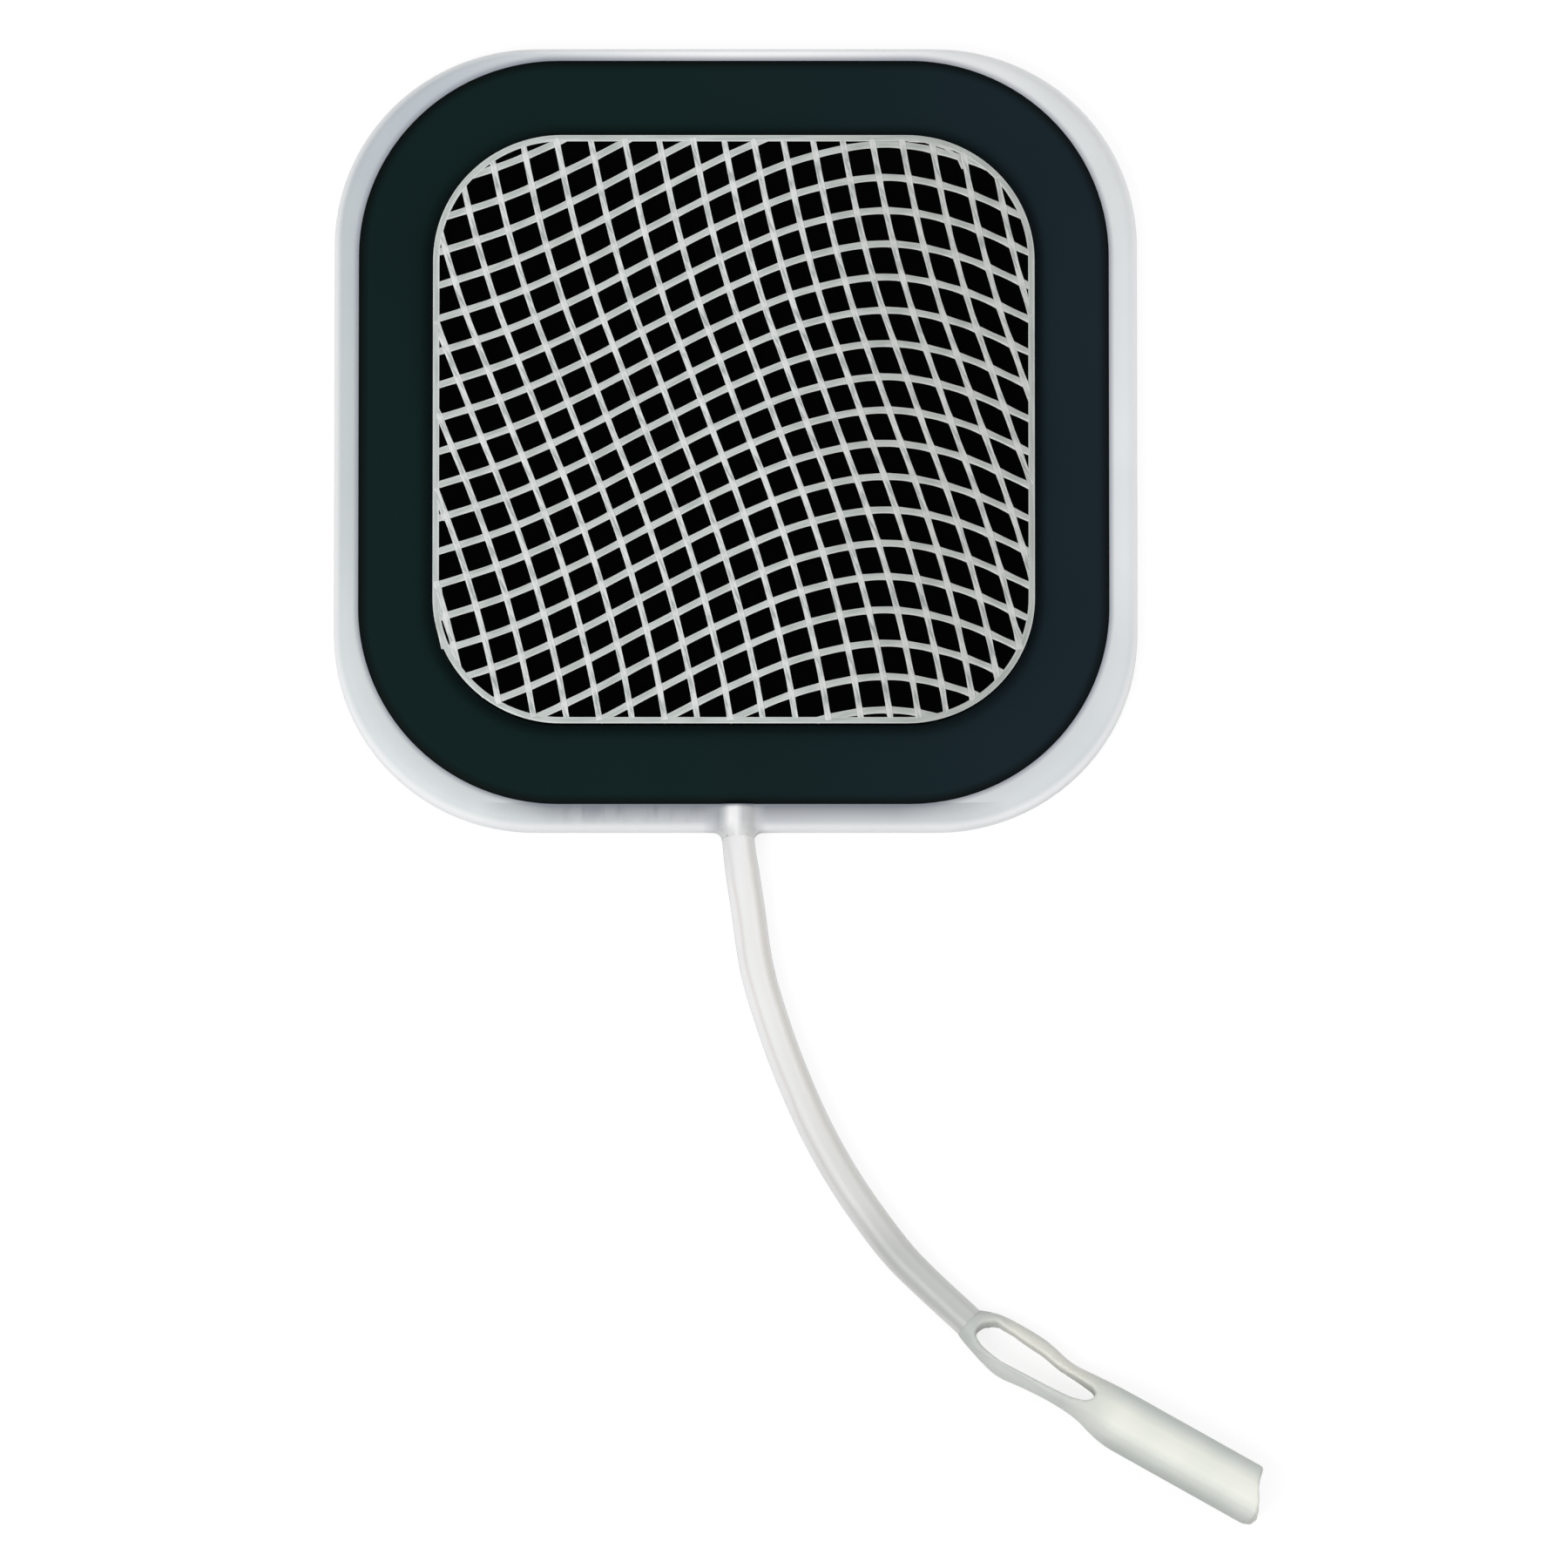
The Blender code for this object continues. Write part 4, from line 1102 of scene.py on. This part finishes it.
def makeThreadMaterial(name, colours, fibres):    # painted highlight along the sides, brighter at knots, tinted on the right
    dark, light = colours
    material, tree, shader = newMaterial(name, light, 0.4, Coat_Weight=0.3, Coat_Roughness=0.12)
    skin = useGroup(tree, twistedFilaments, **fibres)
    colour = mixColours(tree, mapRange(tree, skin["Mask"], *net["fibreLevels"]), dark, light)
    turn = maths(tree, "MULTIPLY", splitVector(tree, addNode(tree, "UVMap").outputs[0])["Y"], math.tau)
    side = maths(tree, "ABSOLUTE", maths(tree, "COSINE", turn))
    edge = mapRange(tree, side, *net["edgeLevels"], toHigh=net["edgeMost"])
    colour = mixColours(tree, edge, colour, net["sideHighlight"])
    knot = addNode(tree, "Attribute", attribute_name="knot").outputs["Fac"]
    colour = mixColours(tree, maths(tree, "MULTIPLY", knot, net["knotMost"]), colour, net["knotColour"])
    tint = mixColours(tree, shareAlong(tree, net["tinting"]), white, net["rightTint"])
    dressShader(tree, shader, mixColours(tree, 1.0, colour, tint, "MULTIPLY"), skin, net["rough"])
    return material


def makeNet():
    random.seed(7)
    profile = makeProfile()
    weftThread = makeThreadMaterial("weftThread", net["weftColours"], net["weftFibres"])
    warpThread = makeThreadMaterial("warpThread", net["warpColours"], net["warpFibres"])
    strands = []
    for weft in net["wefts"]:
        places = [(netPoint(warp, weft), warp) for warp in crossings(net["warps"])]
        for run in strandRuns(places, net["weftHeight"], 0.0, net["weftWidth"] / 2):
            strands.append(makeStrand("weft", run, profile, weftThread))
    for warp in net["warps"]:
        places = [(netPoint(warp, weft), weft) for weft in crossings(net["wefts"])]
        for run in strandRuns(places, net["warpHeight"], net["crossingRise"], net["warpWidth"] / 2):
            strands.append(makeStrand("warp", run, profile, warpThread))
    for half, *places in net["strays"]:
        points = [Vector((x * mm, y * mm, gelTop + net["strayHeight"])) for x, y in places]
        run = [(point, half * mm, net["strayKnot"]) for point in points]
        strands.append(makeStrand("stray", run, profile, warpThread))
    border = borderRun(net["inset"] + net["border"] / 2, net["border"] / 2, net["borderHeight"])
    strands.append(makeStrand("border", border, profile, weftThread, closed=True))
    deselectAll()
    for strand in strands:
        strand.select_set(True)
    bpy.context.view_layer.objects.active = strands[-1]
    bpy.ops.object.join()
    piece = bpy.context.object
    piece.name = "netStrands"
    piece.data.name = "netStrands"
    bpy.data.objects.remove(profile)
    finishPiece(piece, "scrim_net", 60)
    return piece


netStrands = makeNet()
print("net made with", len(netStrands.data.polygons), "faces")


# Connector, the moulded eye and body with softened edges

connector = {
    "voxel": 0.09 * mm,
    "smoothing": 7,
    "legSmoothing": 4,
    "fullness": 0.05 * mm,
    "rear": Vector((14.49, -55.58, 0)) * mm,
    "ahead": Vector((0.869064, -0.4947, 0)),
    "left": Vector((0.4947, 0.869064, 0)),
    "bodySides": (-2.72 * mm, 0.95 * mm),
    # painted light across the body: a highlight band down its middle and shaded edges
    "bodyShading": ((0.0, (0.46, 0.48, 0.46)), (0.14, (0.66, 0.68, 0.64)), (0.34, (0.8, 0.805, 0.74)),
                   (0.62, (0.8, 0.805, 0.74)), (0.84, (0.66, 0.69, 0.66)), (1.0, (0.52, 0.55, 0.53))),
    "legSides": (-2.1 * mm, 1.45 * mm),
    # painted shade across the legs, darker towards the lower leg
    "legShading": ((0.0, (0.54, 0.56, 0.54)), (0.45, (0.63, 0.64, 0.61)), (0.7, (0.76, 0.74, 0.68)),
                  (1.0, (0.66, 0.66, 0.62))),
    "bodyStart": (7.5 * mm, 11 * mm),
    # painted shade towards the rear end, where the lead goes in
    "rearShadeStart": (2.4 * mm, 0.2 * mm),
    "rearShade": (0.5, 0.52, 0.5),
    # painted shade where the plastic turns away from view
    "paintedEdgeTone": (0.25, 0.26, 0.25),
    "legEnds": (0.4, 9.4),    # from here on, in millimetres: places along the connector, then across
    "slotMiddle": ((0.62, -0.27), (1.5, -0.12), (2.9, -0.13), (4.9, -0.19), (6.3, -0.35), (7.9, -0.41),
                   (9.2, -0.42)),
    "upperLeg": ((0.4, 0), (0.8, -0.1), (1.4, -0.2), (2.1, -0.06), (3.2, 0.12), (5.5, 0.12), (8.2, 0.04),
                 (9.4, 0)),
    "lowerLeg": ((0.4, 0), (0.9, -0.14), (1.5, -0.2), (2.9, -0.25), (4.9, -0.21), (6.3, -0.17), (7.9, -0.17),
                 (8.8, -0.1), (9.4, 0)),
    "legTop": (1.45, 1.7),
    "legInside": (0.95, 1.4),
    "clouds": {"colour": (0.9, 0.92, 0.91), "scale": 260.0},
    "grain": {"Scale": 3000.0, "Depth": 0.01 * mm, "Strength": 0.3},
    "rough": (0.4, 0.56),
}


def makeConnectorMaterial():
    material, tree, shader = newMaterial("connectorPlastic", connector["bodyShading"][2][1], 0.45,
                                         Subsurface_Weight=0.15, Subsurface_Radius=(1, 1, 1),
                                         Subsurface_Scale=0.6 * mm, Specular_IOR_Level=0.35)

    def shareFromRear(places, direction):
        start = connector["rear"].dot(connector[direction])
        return shareAlong(tree, [start + place for place in connector[places]], connector[direction])

    # painted light and shade across the legs and the body
    legs = colourRamp(tree, shareFromRear("legSides", "left"), connector["legShading"])[0]
    body = colourRamp(tree, shareFromRear("bodySides", "left"), connector["bodyShading"])[0]
    colour = mixColours(tree, shareFromRear("bodyStart", "ahead"), legs, body)
    # painted shade towards the rear end
    colour = mixColours(tree, shareFromRear("rearShadeStart", "ahead"), colour, connector["rearShade"])
    colour = shadeTurnedAway(tree, clouded(tree, colour, connector["clouds"]), connector["paintedEdgeTone"], 0.75)
    dressShader(tree, shader, colour, useGroup(tree, skinGrain, **connector["grain"]), connector["rough"])
    return material


def shapeLegs(shell):    # how far each leg's inner side grows into the slot, less than 0 where it draws back
    facings = [vert.normal.dot(connector["left"]) for vert in shell.data.vertices]
    first, last = connector["legEnds"]
    for vert, facing in zip(shell.data.vertices, facings):
        off = (vert.co - connector["rear"]) / mm
        along, across = off.dot(connector["ahead"]), off.dot(connector["left"])
        if first < along < last:
            away = across - hermite(connector["slotMiddle"], along)
            toSlot = math.copysign(1, -away)
            leg = connector["upperLeg"] if away > 0 else connector["lowerLeg"]
            inside = 1 - smoothStep(*connector["legInside"], abs(away))
            weight = max(facing * toSlot, smoothStep(*connector["legTop"], off.z) * inside)
            vert.co += connector["left"] * toSlot * hermite(leg, along) * mm * weight


def makeConnector():
    deselectAll()
    shell = cadNodes["connector_housing"].copy()
    shell.data = cadNodes["connector_housing"].data.copy()
    for key in list(shell.keys()):
        del shell[key]
    shell.name = "connectorShell"
    shell.data.name = "connectorShell"
    shell.parent = None
    bpy.context.scene.collection.objects.link(shell)
    shell.data.materials.clear()
    mergeVerts(shell, 0.0001 * mm)
    applyModifier(shell, "REMESH", mode="VOXEL", voxel_size=connector["voxel"])
    applyModifier(shell, "SMOOTH", factor=0.5, iterations=connector["smoothing"])
    applyModifier(shell, "DISPLACE", strength=connector["fullness"], mid_level=0.0)
    shapeLegs(shell)
    applyModifier(shell, "SMOOTH", factor=0.5, iterations=connector["legSmoothing"])
    shell.data.materials.append(makeConnectorMaterial())
    finishPiece(shell, "connector_housing", 60)
    return shell


connectorShell = makeConnector()
print("connector made with", len(connectorShell.data.polygons), "faces")


# Metal inside: the fan of bare strands, the core and the contact

metal = {
    "strand": (0.62, 0.5, 0.42),
    "strandRoughness": 0.35,
    "contact": (0.72, 0.7, 0.66),
    "contactRoughness": 0.22,
    "tintScale": 700.0,
    "grain": {"Scale": 6000.0, "Depth": 0.004 * mm, "Strength": 0.3},
}


def makeMetal(name, colour, roughness):
    material, tree, shader = newMaterial(name, colour, roughness, Metallic=1.0)
    darker = [value * 0.8 for value in colour]
    tint = useGroup(tree, cloudyTint, First=colour, Second=darker, Scale=metal["tintScale"])[0]
    dressShader(tree, shader, tint, useGroup(tree, skinGrain, **metal["grain"]),
                (roughness - 0.08, roughness + 0.1))
    return material


def dressMetal():
    strandMetal = makeMetal("bareStrand", metal["strand"], metal["strandRoughness"])
    contactMetal = makeMetal("contactMetal", metal["contact"], metal["contactRoughness"])
    for node, material in (("conductor_fan", strandMetal), ("core_wire", strandMetal),
                           ("socket_contact", contactMetal)):
        for slot in cadNodes[node].material_slots:
            slot.material = material


dressMetal()
print("metal dressed")


# Table, lamps and surroundings

studio = {
    "floorSize": 6.0,
    "floorDrop": 0.05 * mm,
    "floorColour": (0.55, 0.55, 0.55),
    "floorGlow": 1.36,
    "floorGlowShare": 0.6,
    "lampDistance": 0.7,
    "lamps": (    # name, azimuth from the front to the right, elevation, width, share of plain light
        ("leftLamp", -42, 52, 0.42, 0.36),
        ("rightLamp", 105, 45, 0.4, 0.14),
    ),
    "sky": ((0.0, 0.2), (0.12, 0.22), (0.5, 0.95), (0.78, 1.0), (0.9, 0.12), (0.95, 0.03), (1.0, 0.03)),
}


def makeFloor():    # it shines a little for the camera, so that the table looks white
    deselectAll()
    bpy.ops.mesh.primitive_plane_add(size=studio["floorSize"], location=(0, 0, -studio["floorDrop"]))
    floor = bpy.context.object
    floor.name = "tableTop"
    material, tree, shader = newMaterial("tableTop", studio["floorColour"], 0.9, Specular_IOR_Level=0.0)
    rays = addNode(tree, "LightPath").outputs
    seen = maths(tree, "MAXIMUM", rays["Is Camera Ray"], rays["Is Glossy Ray"])
    seen = maths(tree, "MAXIMUM", seen, rays["Is Transmission Ray"])
    share = maths(tree, "MULTIPLY", seen, studio["floorGlowShare"])
    glow = addNode(tree, "Emission", {"Strength": studio["floorGlow"]}).outputs[0]
    mix = addNode(tree, "MixShader", {0: share, 1: shader.outputs[0], 2: glow}).outputs[0]
    plug(tree, mix, tree.nodes["Material Output"].inputs[0])
    floor.data.materials.append(material)


def makeLamps():
    for name, azimuth, elevation, width, share in studio["lamps"]:
        turn, height = math.radians(azimuth), math.radians(elevation)
        away = Vector((math.sin(turn) * math.cos(height), -math.cos(turn) * math.cos(height),
                       math.sin(height)))
        deselectAll()
        bpy.ops.object.light_add(type="AREA", location=away * studio["lampDistance"],
                                 rotation=away.to_track_quat("Z", "Y").to_euler())
        lamp = bpy.context.object
        lamp.name = name
        lamp.data.size = width
        lamp.data.energy = share * math.pi ** 2 * studio["lampDistance"] ** 2 / math.sin(height)


def makeWorld():
    world = bpy.data.worlds.new("softRoom")
    world.use_nodes = True
    tree = world.node_tree
    bpy.context.scene.world = world
    height = splitVector(tree, addNode(tree, "TexCoord").outputs["Generated"])["Z"]
    sky = colourRamp(tree, height, [(place, (level, level, level)) for place, level in studio["sky"]])[0]
    plug(tree, sky, tree.nodes["Background"].inputs["Color"])
    plug(tree, 1.0, tree.nodes["Background"].inputs["Strength"])


makeFloor()
makeLamps()
makeWorld()
bpy.context.scene.view_settings.view_transform = "Standard"
print("studio made")
